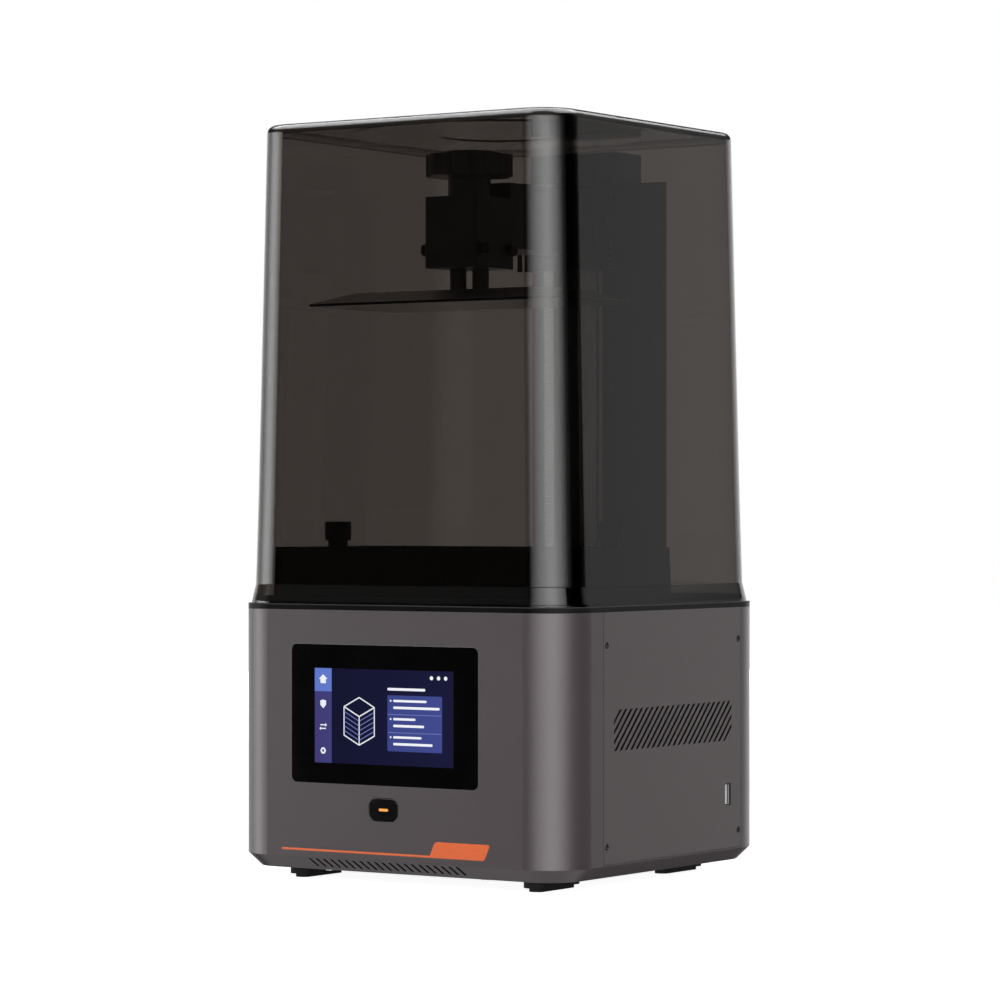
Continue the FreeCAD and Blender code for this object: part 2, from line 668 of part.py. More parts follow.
# Side panels with slanted grilles
for label, sign in (("side_panel_left", -1), ("side_panel_right", 1)):
    panel = new_body(label)
    face = base_w / 2 * sign
    y0, y1 = seam_f + seam_gap, seam_r - seam_gap
    z0 = panel_low + seam_gap
    sk = sketch(panel, "YZ_Plane", face)
    polygon(sk, [(y0, z0), (y1, z0), (y1, shell_top), (y0, shell_top)])
    pad(panel, sk, panel_t, sign > 0)
    sk = sketch(panel, "YZ_Plane", face)
    top = grille_z0 + grille_h
    polygon(sk, [(grille_y0, grille_z0), (grille_y0 + slit_w, grille_z0),
                 (grille_y0 + slit_w + grille_h, top), (grille_y0 + grille_h, top)])
    row_of(panel, pocket(panel, sk, panel_t + 1, sign < 0), "Y_Axis", 19, slit_pitch)
    sk = sketch(panel, "YZ_Plane", face)
    for k in range(1, 4):
        left = grille_y0 - slit_pitch * k
        polygon(sk, [(grille_y0, grille_z0 + slit_pitch * k - slit_w), (left + slit_w + grille_h, top),
                     (left + grille_h, top), (grille_y0, grille_z0 + slit_pitch * k)])
        right = grille_y0 + slit_pitch * (18 + k)
        polygon(sk, [(right, grille_z0), (right + slit_w, grille_z0),
                     (grille_y1, grille_z0 + grille_y1 - right - slit_w), (grille_y1, grille_z0 + grille_y1 - right)])
    pocket(panel, sk, panel_t + 1, sign < 0)
    spots = [(y, z) for y in (seam_f + pscrew_in, seam_r - pscrew_in) for z in (pscrew_low, pscrew_high)]
    sk = sketch(panel, "YZ_Plane", face)
    for y, z in spots:
        circle(sk, y, z, pscrew_r + 0.1)
    pocket(panel, sk, pscrew_sink, sign < 0)
    sk = sketch(panel, "YZ_Plane", face)
    for y, z in spots:
        circle(sk, y, z, pscrew_core)
    pocket(panel, sk, panel_t + 1, sign < 0)
    if sign > 0:
        sk = sketch(panel, "YZ_Plane", face)
        oblong(sk, usb_y, usb_z, usb_wid + 0.4, usb_len + 0.4, 0.8)
        pocket(panel, sk, panel_t + 1)
    nodes.append(panel)
seat_x = base_w / 2 - pscrew_sink
shank_t = side_t - pscrew_sink
right_spots = [(seat_x, y, z) for y, z in spots]
left_spots = [(-seat_x, y, z) for y, z in spots]
right_screws = screws("panel_screws_right", right_spots, "-x", pscrew_r, pscrew_head, pscrew_core, shank_t)
left_screws = screws("panel_screws_left", left_spots, "x", pscrew_r, pscrew_head, pscrew_core, shank_t)
nodes.append(group("panel_screws", [right_screws, left_screws]))

usb = new_body("usb_socket")
sk = sketch(usb, "YZ_Plane", base_w / 2 - 0.3)
oblong(sk, usb_y, usb_z, usb_wid, usb_len, 0.6)
pad(usb, sk, 15, True)
sk = sketch(usb, "YZ_Plane", base_w / 2 - 0.3)
oblong(sk, usb_y, usb_z, usb_wid - 1.2, usb_len - 1.2, 0.3)
pocket(usb, sk, 12)
sk = sketch(usb, "YZ_Plane", base_w / 2 - 12.3)
oblong(sk, usb_y - 1, usb_z, 1.8, usb_len - 2.4, 0.2)
pad(usb, sk, 10)
sk = sketch(usb, "YZ_Plane", base_w / 2 - panel_t)
oblong(sk, usb_y, usb_z, usb_wid + usb_rim * 2, usb_len + 8, 1)
oblong(sk, usb_y, usb_z, usb_wid - 0.4, usb_len - 0.4, 0.4)
pad(usb, sk, 1, True)
nodes.append(usb)

# Front glass, display, button and stripe
glass = new_body("screen_glass")
sk = sketch(glass, "XZ_Plane", front_y)
oblong(sk, front_x, glass_z, glass_w, glass_h, 4)
pad(glass, sk, glass_t, True)
nodes.append(glass)

display = new_body("display_module")
sk = sketch(display, "XZ_Plane", front_y + glass_t)
oblong(sk, front_x, glass_z, disp_w - 0.4, disp_h - 0.4, 1.8)
pad(display, sk, wall_t - glass_t, True)
sk = sketch(display, "XZ_Plane", inner_f)
oblong(sk, front_x, glass_z, disp_w + 9, disp_h + 8, 2)
pad(display, sk, 5, True)
nodes.append(display)

button = new_body("power_button")
sk = sketch(button, "XZ_Plane", front_y)
oblong(sk, front_x, button_z, button_w, button_h, button_r)
pad(button, sk, wall_t, True)
sk = sketch(button, "XZ_Plane", inner_f)
oblong(sk, front_x, button_z, button_w + 4, button_h + 4, button_r + 1)
pad(button, sk, 1.4, True)
sk = sketch(button, "XZ_Plane", front_y)
oblong(sk, front_x, button_z, dash_w, dash_h, dash_h * 0.46)
pocket(button, sk, inlay_t)
nodes.append(button)

lamp = new_body("button_light")
sk = sketch(lamp, "XZ_Plane", front_y)
oblong(sk, front_x, button_z, dash_w, dash_h, dash_h * 0.46)
pad(lamp, sk, inlay_t, True)
nodes.append(lamp)

holder = new_body("button_housing")
sk = sketch(holder, "XZ_Plane", inner_f)
oblong(sk, front_x, button_z, button_w + 12, button_h + 10, 3)
pad(holder, sk, 8, True)
sk = sketch(holder, "XZ_Plane", inner_f)
oblong(sk, front_x, button_z, button_w + 4.8, button_h + 4.8, button_r + 1.4)
pocket(holder, sk, 4)
nodes.append(holder)

stripe = new_body("front_stripe")
sk = sketch(stripe, "XZ_Plane", front_y)
polygon(sk, stripe_pts)
pad(stripe, sk, inlay_t, True)
nodes.append(stripe)

# Deck with the masking screen and its light below
boss_r = 11
bolt_x = column_w / 2 - bolt_in
column_bolts = [(column_x + bolt_x * s, y) for y in (foot_y + bolt_end, column_y - bolt_end) for s in (-1, 1)]
deck = new_body("deck")
plate(deck, shell_top, 0, 0, base_w, base_d, corner_r, deck_t)
sk = sketch(deck, "XY_Plane", deck_top)
ridge_r = corner_r - ridge_in
oblong(sk, 0, 0, base_w - ridge_in * 2, base_d - ridge_in * 2, ridge_r)
oblong(sk, 0, 0, base_w - ridge_in * 2 - 4, base_d - ridge_in * 2 - 4, ridge_r - 2)
pad(deck, sk, ridge_h)
well(deck, deck_top, 0, mid_y, lcd_w + 0.2, lcd_d + 0.2, 1, lcd_sink)
well(deck, deck_top, 0, mid_y, win_w, win_d, 2, deck_t + 1)
holes(deck, deck_top, [(screw_x, screw_y)], boss_r, deck_t + 1)
holes(deck, deck_top, [(thumb_x, mid_y), (-thumb_x, mid_y)], thumb_core + run_gap, deck_t + 1)
holes(deck, deck_top, column_bolts, 2, deck_t + 1)
nodes.append(deck)

lcd_low = deck_top - lcd_sink
lcd = new_body("masking_screen")
plate(lcd, lcd_low, 0, mid_y, lcd_w, lcd_d, 0.9, lcd_t)
nodes.append(lcd)

lens = new_body("lens")
plate(lens, shell_top - lens_t, 0, mid_y, win_w + 8, win_d + 8, 2, lens_t)
nodes.append(lens)

hood = new_body("light_hood")
hood_top = shell_top - lens_t
plate(hood, hood_top - 2, 0, mid_y, win_w + 16, win_d + 14, 3, 2)
outer = []
inner = []
for z, w, d, r in ((hood_top - 2, win_w + 6, win_d + 6, 4), (hood_low, led_w, led_w, 3)):
    sk = sketch(hood, "XY_Plane", z)
    oblong(sk, 0, mid_y, w, d, r)
    outer.append(sk)
loft(hood, "AdditiveLoft", outer)
for z, w, d, r in ((hood_top, win_w + 2, win_d + 2, 2), (hood_low, led_w - 4, led_w - 4, 1)):
    sk = sketch(hood, "XY_Plane", z)
    oblong(sk, 0, mid_y, w, d, r)
    inner.append(sk)
loft(hood, "SubtractiveLoft", inner)
nodes.append(hood)

half = led_w / 2 + 3
board = block("led_plate", (-half, half), (mid_y - half, mid_y + half), (hood_low - 1.6, hood_low))
lights = []
for i in range(3):
    for j in range(3):
        x, y = (i - 1) * 16.0, mid_y + (j - 1) * 16.0
        lights.append(block("led%d%d" % (i, j), (x - 2.5, x + 2.5), (y - 2.5, y + 2.5), (hood_low, hood_low + 1.5)))
nodes.append(join("led_board", [board] + lights))

sink = new_body("heat_sink")
plate(sink, hood_low - 6.6, 0, mid_y, led_w + 6, led_w + 6, 1, 5)
sk = sketch(sink, "XY_Plane", hood_low - 6.6)
fin_x = (led_w + 6) / -2
polygon(sk, [(fin_x, mid_y - half), (fin_x + 2, mid_y - half), (fin_x + 2, mid_y + half), (fin_x, mid_y + half)])
row_of(sink, pad(sink, sk, fin_h, True), "X_Axis", 11, (led_w + 4) / 10)
nodes.append(sink)

floor = foot_h + plate_t
board_y1 = inner_r - board_gap
board_y0 = board_y1 - board_d
post_y = (board_y0 + board_in, board_y1 - board_in)
posts = [((board_w / 2 - board_in) * s, y) for y in post_y for s in (-1, 1)]
legs = [rod("board_post%d" % i, "z", x, y, floor, board_in / 2, board_up) for i, (x, y) in enumerate(posts)]
nodes.append(group("board_posts", legs))
pcb_low = floor + board_up
pcb_top = pcb_low + board_t
pcb = block("pcb", (board_w / -2, board_w / 2), (board_y0, board_y1), (pcb_low, pcb_top))
chips = []
for name, x0, x1, y0, y1, tall in (("chip", -0.12, 0.12, 0.24, 0.6, 1.5), ("driver", 0.2, 0.3, 0.24, 0.36, 3.4),
                                   ("header", -0.43, -0.17, 0.76, 0.84, 5.2), ("memory", 0.2, 0.38, 0.5, 0.66, 0.9)):
    chips.append(block(name, (board_w * x0, board_w * x1), (board_y0 + board_d * y0, board_y0 + board_d * y1),
                       (pcb_top, pcb_top + board_t * tall)))
nodes.append(join("main_board", [pcb] + chips))

# Fan behind the rear grille, and the power inlet
frame = new_body("fan_frame")
sk = sketch(frame, "XZ_Plane", inner_r)
oblong(sk, fan_x, fan_z, fan_w, fan_w, 4)
pad(frame, sk, fan_t)
sk = sketch(frame, "XZ_Plane", inner_r)
circle(sk, fan_x, fan_z, fan_w / 2 - 1.5)
pocket(frame, sk, fan_t + 1, True)
sk = sketch(frame, "XZ_Plane", inner_r - fan_t)
polygon(sk, [(fan_x - 2, fan_z - fan_w / 2 + 1), (fan_x + 2, fan_z - fan_w / 2 + 1),
             (fan_x + 2, fan_z + fan_w / 2 - 1), (fan_x - 2, fan_z + fan_w / 2 - 1)])
pad(frame, sk, 2, True)
sk = sketch(frame, "XZ_Plane", inner_r - fan_t)
polygon(sk, [(fan_x - fan_w / 2 + 1, fan_z - 2), (fan_x + fan_w / 2 - 1, fan_z - 2),
             (fan_x + fan_w / 2 - 1, fan_z + 2), (fan_x - fan_w / 2 + 1, fan_z + 2)])
pad(frame, sk, 2, True)
sk = sketch(frame, "XZ_Plane", inner_r - fan_t)
circle(sk, fan_x, fan_z, 12)
pad(frame, sk, 2, True)
sk = sketch(frame, "XZ_Plane", inner_r - fan_t)
circle(sk, fan_x, fan_z, 2 + run_gap)
pocket(frame, sk, 3)
nodes.append(frame)

hub = rod("fan_hub", "y", fan_x, inner_r - fan_t + 3, fan_z, 12, 10)
pin = rod("fan_pin", "y", fan_x, inner_r - fan_t, fan_z, 2, 4)
blades = []
for i in range(7):
    blade = doc.addObject("Part::Box", "fan_blade%d" % i)
    put(blade, "Length", fan_w / 2 - 14)
    blade.Width = 11
    blade.Height = 1.4
    spin = FreeCAD.Rotation(FreeCAD.Vector(0, 1, 0), 360.0 / 7 * i)
    tilt = FreeCAD.Rotation(FreeCAD.Vector(1, 0, 0), 38)
    arm = spin.multVec(FreeCAD.Vector(10.5, 0, 0))
    lead = spin.multiply(tilt).multVec(FreeCAD.Vector(0, 5.5, 0.7))
    blade.Placement = FreeCAD.Placement(FreeCAD.Vector(0, 0, 0), spin.multiply(tilt))
    put(blade, "Placement.Base.x", fan_x + (arm.x - lead.x))
    put(blade, "Placement.Base.y", inner_r - fan_t + 8 - lead.y)
    put(blade, "Placement.Base.z", fan_z + (arm.z - lead.z))
    blades.append(blade)
nodes.append(join("fan_rotor", [hub, pin] + blades))

inlet = new_body("power_inlet")
sk = sketch(inlet, "XZ_Plane", rear_y - 0.2)
circle(sk, inlet_x, inlet_z, 5.3)
pad(inlet, sk, 16)
sk = sketch(inlet, "XZ_Plane", inner_r)
circle(sk, inlet_x, inlet_z, 8)
pad(inlet, sk, 1.6)
sk = sketch(inlet, "XZ_Plane", rear_y - 0.2)
circle(sk, inlet_x, inlet_z, 3.2)
circle(sk, inlet_x, inlet_z, 1.1)
pocket(inlet, sk, 11, True)
nodes.append(inlet)

# Motor, lead screw, column and rail
motor = new_body("z_motor")
plate(motor, shell_top - motor_h, screw_x, screw_y, motor_w, motor_w, 4, motor_h)
sk = sketch(motor, "XY_Plane", shell_top)
circle(sk, screw_x, screw_y, boss_r)
pad(motor, sk, deck_t)
holes(motor, deck_top, [(screw_x, screw_y)], screw_r + run_gap, 30)
nodes.append(motor)

cap_low = column_top
lead_low = deck_top - 24
nodes.append(rod("lead_screw", "z", screw_x, screw_y, lead_low, screw_r, cap_low + 10 - lead_low))

column = new_body("column_plate")
column_back = column_y + column_t
sk = sketch(column, "XY_Plane", deck_top)
column_l = column_x - column_w / 2
column_r = column_x + column_w / 2
polygon(sk, [(column_l, column_y), (column_r, column_y), (column_r, column_back), (column_l, column_back)])
pad(column, sk, column_top - deck_top)
sk = sketch(column, "XY_Plane", deck_top)
polygon(sk, [(column_l, foot_y), (column_r, foot_y), (column_r, column_back), (column_l, column_back)])
pad(column, sk, foot_t)
holes(column, deck_top + foot_t, [(screw_x, screw_y)], 8, foot_t + 1)
holes(column, deck_top + foot_t, column_bolts, 2, foot_t + 1)
nodes.append(column)
bolt_spots = [(x, y, deck_top + foot_t) for x, y in column_bolts]
nodes.append(screws("column_screws", bolt_spots, "-z", 3.5, 3, 2, foot_t + deck_t - 0.5))

cap = new_body("column_cap")
plate(cap, cap_low, column_x, (cap_y + column_back) / 2, cap_w, column_back - cap_y, 4, cap_h)
holes(cap, cap_low, [(screw_x, screw_y)], screw_r + run_gap, 10.5, True)
nodes.append(cap)

rail_y = column_y - rail_t
rail_top = column_top - 4
rail = new_body("linear_rail")
sk = sketch(rail, "XY_Plane", rail_low)
waist = rail_w / 2 - rail_t * 0.16
half_rail = []
for out, back in ((rail_w / 2, 0), (rail_w / 2, 0.26), (waist, 0.38), (waist, 0.56), (rail_w / 2, 0.68), (rail_w / 2, 1)):
    half_rail.append((out, rail_y + rail_t * back))
right_half = [(column_x + out, y) for out, y in half_rail]
left_half = [(column_x - out, y) for out, y in reversed(half_rail)]
polygon(sk, right_half + left_half)
pad(rail, sk, rail_top - rail_low)
pitch = (rail_top - rail_low - rail_bolt_end * 2) / 8
sk = sketch(rail, "XZ_Plane", rail_y)
circle(sk, column_x, rail_low + rail_bolt_end, rail_bolt_r)
row_of(rail, pocket(rail, sk, rail_bolt_in), "Z_Axis", 9, pitch)
nodes.append(rail)
bolts = []
for i in range(9):
    bolts.append(rod("rail_bolt%d" % i, "-y", column_x, rail_y + rail_bolt_in, rail_low + rail_bolt_end + pitch * i,
                     rail_bolt_r, rail_bolt_t))
nodes.append(group("rail_screws", bolts))

# Carriage, arm and nut
truck = new_body("rail_carriage")
sk = sketch(truck, "XY_Plane", arm_low + 1)
slot = rail_w / 2 + run_gap
truck_l = column_x - truck_w / 2
truck_r = column_x + truck_w / 2
slot_l = column_x - slot
slot_r = column_x + slot
polygon(sk, [(truck_l, truck_y), (truck_r, truck_y), (truck_r, column_y - 2), (slot_r, column_y - 2),
             (slot_r, rail_y - run_gap), (slot_l, rail_y - run_gap), (slot_l, column_y - 2), (truck_l, column_y - 2)])
pad(truck, sk, arm_high - arm_low - 2)
nodes.append(truck)

arm = new_body("lift_arm")
arm_y = truck_y - bracket_t
head_rear = mid_y + head_d / 2
wing = screw_x - wing_out
wing_r = column_x + wing_in
sk = sketch(arm, "XZ_Plane", truck_y)
polygon(sk, [(wing, arm_low), (wing_r, arm_low), (wing_r, arm_high), (wing, arm_high)])
pad(arm, sk, bracket_t)
sk = sketch(arm, "XY_Plane", beam_low)
polygon(sk, [(beam_w / -2, head_rear), (beam_w / 2, head_rear), (beam_w / 2, arm_y + 1), (beam_w / -2, arm_y + 1)])
pad(arm, sk, beam_high - beam_low)
sk = sketch(arm, "XY_Plane", tongue_low)
tip = head_rear - head_d + head_wall
polygon(sk, [(tongue_w / -2, tip), (tongue_w / 2, tip), (tongue_w / 2, head_rear + 1), (tongue_w / -2, head_rear + 1)])
pad(arm, sk, tongue_high - tongue_low)
nut_z = arm_low + 8
sk = sketch(arm, "XY_Plane", nut_z)
polygon(sk, [(wing, truck_y - 1), (truck_l - 0.3, truck_y - 1), (truck_l - 0.3, screw_y + 9), (wing, screw_y + 9)])
pad(arm, sk, 8)
holes(arm, nut_z + 8, [(screw_x, screw_y)], nut_r, 17)
holes(arm, arm_high, [(screw_x, screw_y)], nut_r + 2, arm_high - nut_z - 8)
nodes.append(arm)

nut = join("lead_nut_body", [rod("nut_barrel", "z", screw_x, screw_y, nut_z - 6, nut_r, 18),
                             rod("nut_flange", "z", screw_x, screw_y, nut_z + 8, nut_r + 1.6, 4)])
bore = rod("nut_bore", "z", screw_x, screw_y, nut_z - 8, screw_r + run_gap, 24)
nodes.append(cut("lead_nut", nut, [bore]))

# Platform: head, levelling block, posts and build plate
head = new_body("platform_head")
plate(head, head_low, 0, mid_y, head_w, head_d, 3, head_high - head_low)
sk = sketch(head, "XZ_Plane", head_rear)
slide = tongue_w / 2 + run_gap
polygon(sk, [(-slide, tongue_low - 0.1), (slide, tongue_low - 0.1), (slide, tongue_high), (-slide, tongue_high)])
pocket(head, sk, head_d - head_wall + 0.5, True)
clamp_y = mid_y
holes(head, head_high, [(0, clamp_y)], stud_r + run_gap, head_high - tongue_high + 1)
nodes.append(head)

level = new_body("levelling_block")
plate(level, level_low, 0, mid_y, head_w, head_d, 3, head_low - level_low)
level_z = (level_low + head_low) / 2 + level_rise
for sign in (1, -1):
    sk = sketch(level, "YZ_Plane", head_w / 2 * sign)
    for y in (mid_y - level_span, mid_y + level_span):
        circle(sk, y, level_z, level_core)
    pocket(level, sk, level_in, sign < 0)
nodes.append(level)
level_y = (mid_y - level_span, mid_y + level_span)
level_right = screws("level_screws_right", [(head_w / 2, y, level_z) for y in level_y], "-x",
                     level_r, level_out, level_core, level_in)
level_left = screws("level_screws_left", [(head_w / -2, y, level_z) for y in level_y], "x",
                    level_r, level_out, level_core, level_in)
nodes.append(group("level_screws", [level_right, level_left]))

stems = [rod("stem_left", "z", -post_x, mid_y, bed_top, post_r, level_low - bed_top),
         rod("stem_right", "z", post_x, mid_y, bed_top, post_r, level_low - bed_top)]
nodes.append(group("plate_posts", stems))

bed = new_body("build_plate")
plate(bed, bed_low, 0, mid_y, bed_w, bed_d, 2, bed_edge)
slope = []
for z, inset, r in ((bed_low + bed_edge, 0, 2), (bed_top, bed_slope, 1)):
    sk = sketch(bed, "XY_Plane", z)
    oblong(sk, 0, mid_y, bed_w - as_size(inset) * 2, bed_d - as_size(inset) * 2, r)
    slope.append(sk)
loft(bed, "AdditiveLoft", slope)
nodes.append(bed)

knob = new_body("clamp_knob")
knob.Placement = FreeCAD.Placement(FreeCAD.Vector(0, clamp_y.value, 0), FreeCAD.Rotation())
put(knob, "Placement.Base.y", clamp_y)
for z0, z1, r in ((tongue_high + 0.1, head_high + 1, stud_r), (head_high, knob_low + 1, neck_r),
                  (knob_low, knob_high, knob_r), (knob_high - 1, knob_high + 2, 15)):
    sk = sketch(knob, "XY_Plane", z0)
    circle(sk, 0, 0, r)
    pad(knob, sk, as_size(z1) - z0)
sk = sketch(knob, "XY_Plane", knob_low - 1)
circle(sk, knob_r + 3.4, 0, 6)
ring_of(knob, pocket(knob, sk, knob_high - knob_low + 4, True), "Z_Axis", 8)
nodes.append(knob)

# Vat with its film, frame and thumb screws
vat_top = deck_top + vat_h
film_low = deck_top + film_frame_t
vat = new_body("vat_tub")
walls = []
for z, inset in ((deck_top, 0), (vat_top, 1.2)):
    sk = sketch(vat, "XY_Plane", z)
    oblong(sk, 0, mid_y, vat_w - inset * 2, vat_d - inset, 6)
    walls.append(sk)
loft(vat, "AdditiveLoft", walls)
well(vat, vat_top, 0, mid_y, tub_w, tub_d, 9, vat_h + 1)
sk = sketch(vat, "XY_Plane", deck_top)
oblong(sk, 0, mid_y, film_frame_w + 0.4, film_frame_d + 0.4, 5)
pocket(vat, sk, film_frame_t + film_t, True)
holes(vat, vat_top, [(thumb_x, mid_y), (-thumb_x, mid_y)], thumb_core + run_gap, vat_h + 1)
bolt_y = vat_d / 2 - film_bolt_y
film_bolts = [((film_frame_w / 2 - film_bolt_in) * s, mid_y + bolt_y * t) for s in (-1, 1) for t in (-1, 1)]
holes(vat, deck_top, film_bolts, 1.5, 9, True)
nodes.append(vat)

ring = new_body("film_frame")
sk = sketch(ring, "XY_Plane", deck_top)
oblong(sk, 0, mid_y, film_frame_w, film_frame_d, 4.8)
oblong(sk, 0, mid_y, tub_w + 1, tub_d + 1, 9)
pad(ring, sk, film_frame_t)
holes(ring, deck_top + film_frame_t, [(thumb_x, mid_y), (-thumb_x, mid_y)], thumb_core + 0.4, film_frame_t + 1)
holes(ring, deck_top, film_bolts, 2.8, 1.2, True)
holes(ring, deck_top, film_bolts, 1.5, 3, True)
nodes.append(ring)

film = new_body("release_film")
plate(film, film_low, 0, mid_y, film_frame_w - 0.6, film_frame_d - 0.6, 4.6, film_t)
holes(film, film_low + film_t, film_bolts, 1.5, film_t + 1)
holes(film, film_low + film_t, [(thumb_x, mid_y), (-thumb_x, mid_y)], thumb_core + 0.4, film_t + 1)
nodes.append(film)
nodes.append(screws("film_screws", [(x, y, deck_top + 1.2) for x, y in film_bolts], "z", 2.8, 1.1, 1.5, 7))

for label, sign in (("vat_screw_left", -1), ("vat_screw_right", 1)):
    x = thumb_x * sign
    stem = rod(label + "_stem", "z", x, mid_y, shell_top - 2, thumb_core, vat_top - shell_top + 3)
    collar = rod(label + "_collar", "z", x, mid_y, vat_top, thumb_r * 0.75, thumb_h * 0.27)
    grip = rod(label + "_grip", "z", x, mid_y, vat_top + thumb_h * 0.24, thumb_r, thumb_h * 0.76)
    nodes.append(join(label, [stem, collar, grip]))

# Cover: clear hood with a flared skirt and a shallow round dish in its roof
cover = new_body("cover")
seat_w = base_w - cover_in * 2
seat_d = base_d - cover_in * 2
body_w = seat_w - skirt_in * 2
body_d = seat_d - skirt_in * 2
roof_w = body_w - taper_x * 2
roof_d = body_d - taper_y * 2
levels = ((deck_top, seat_w, seat_d, cover_r), (deck_top + skirt_h, body_w, body_d, cover_r - 1.5),
          (cover_top - edge_r, roof_w, roof_d, cover_r - 3),
          (cover_top - edge_r * 0.3, roof_w - edge_r * 0.6, roof_d - edge_r * 0.6, cover_r - 4),
          (cover_top, roof_w - edge_r * 2, roof_d - edge_r * 2, cover_r - 6))
sections = []
for z, w, d, r in levels:
    sk = sketch(cover, "XY_Plane", z)
    oblong(sk, 0, 0, w, d, r)
    sections.append(sk)
loft(cover, "AdditiveLoft", sections)
gap = cover_t * 2
levels = ((deck_top, seat_w - gap, seat_d - gap, cover_r - 2.5),
          (deck_top + skirt_h, body_w - gap, body_d - gap, cover_r - 4),
          (cover_top - roof_t - 2.5, roof_w - gap, roof_d - gap, cover_r - 5.5),
          (cover_top - roof_t, roof_w - gap - 5, roof_d - gap - 5, cover_r - 8))
sections = []
for z, w, d, r in levels:
    sk = sketch(cover, "XY_Plane", z)
    oblong(sk, 0, 0, w, d, r)
    sections.append(sk)
loft(cover, "SubtractiveLoft", sections)
sk = sketch(cover, "XY_Plane", cover_top - roof_t + 0.5)
circle(sk, 0, 0, ring_out + ring_wall)
circle(sk, 0, 0, ring_in - ring_wall)
pad(cover, sk, ring_t + 0.5, True)
sk = sketch(cover, "XY_Plane", cover_top)
circle(sk, 0, 0, ring_out)
circle(sk, 0, 0, ring_in)
pocket(cover, sk, ring_t)
nodes.append(cover)

doc.recompute()

bad = []
for obj in doc.Objects:
    if "Invalid" in obj.State or "Error" in obj.State:
        bad.append("%s: %s" % (obj.Name, obj.State))
for node in nodes:
    if node.Shape.isNull() or not node.Shape.isValid() or not node.Shape.Solids:
        bad.append("%s: no valid solid" % node.Label)
if bad:
    raise RuntimeError("; ".join(bad))

os.makedirs("parts", exist_ok=True)
for node in nodes:
    node.Shape.exportStep("parts/%s.step" % node.Label)
print("wrote", len(nodes), "nodes")
for node in nodes:
    box = node.Shape.BoundBox
    print("%-18s %d solids  x %.1f %.1f  y %.1f %.1f  z %.1f %.1f  vol %.0f" % (
        node.Label, len(node.Shape.Solids), box.XMin, box.XMax, box.YMin, box.YMax, box.ZMin, box.ZMax,
        node.Shape.Volume))
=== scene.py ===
import math

import bmesh
import bpy
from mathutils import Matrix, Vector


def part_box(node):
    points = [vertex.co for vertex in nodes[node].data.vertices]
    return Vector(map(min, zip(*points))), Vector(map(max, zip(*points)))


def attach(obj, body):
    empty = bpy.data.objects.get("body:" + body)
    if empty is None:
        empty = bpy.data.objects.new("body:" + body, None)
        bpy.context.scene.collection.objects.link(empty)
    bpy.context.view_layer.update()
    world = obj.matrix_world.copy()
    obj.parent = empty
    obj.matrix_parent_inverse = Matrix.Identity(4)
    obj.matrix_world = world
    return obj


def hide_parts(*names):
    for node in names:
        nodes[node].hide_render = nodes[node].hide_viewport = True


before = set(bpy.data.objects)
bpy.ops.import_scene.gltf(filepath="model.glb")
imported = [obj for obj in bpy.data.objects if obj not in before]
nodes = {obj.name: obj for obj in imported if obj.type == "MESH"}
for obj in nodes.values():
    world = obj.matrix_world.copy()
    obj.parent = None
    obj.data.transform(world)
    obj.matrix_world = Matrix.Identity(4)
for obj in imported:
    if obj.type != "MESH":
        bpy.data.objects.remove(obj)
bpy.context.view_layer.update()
MM = 0.001
WHITE, BLACK = (1.0, 1.0, 1.0, 1.0), (0.0, 0.0, 0.0, 1.0)
# Most of a noise texture lies between these values
NOISE_LOW, NOISE_HIGH = 0.3, 0.7
# Places of the two inputs and the output of a Mix node
MIX_SOCKETS = {"FLOAT": (2, 3, 0), "RGBA": (6, 7, 2)}


# Node helpers

def srgb(r, g, b):
    """Linear colour of an 8-bit one."""
    return tuple((v / 255 / 12.92) if v <= 10 else ((v / 255 + 0.055) / 1.055) ** 2.4 for v in (r, g, b))


def grey(level):
    return (level, level, level)


def shade(colour, factor):
    return tuple(min(1.0, v * factor) for v in colour)


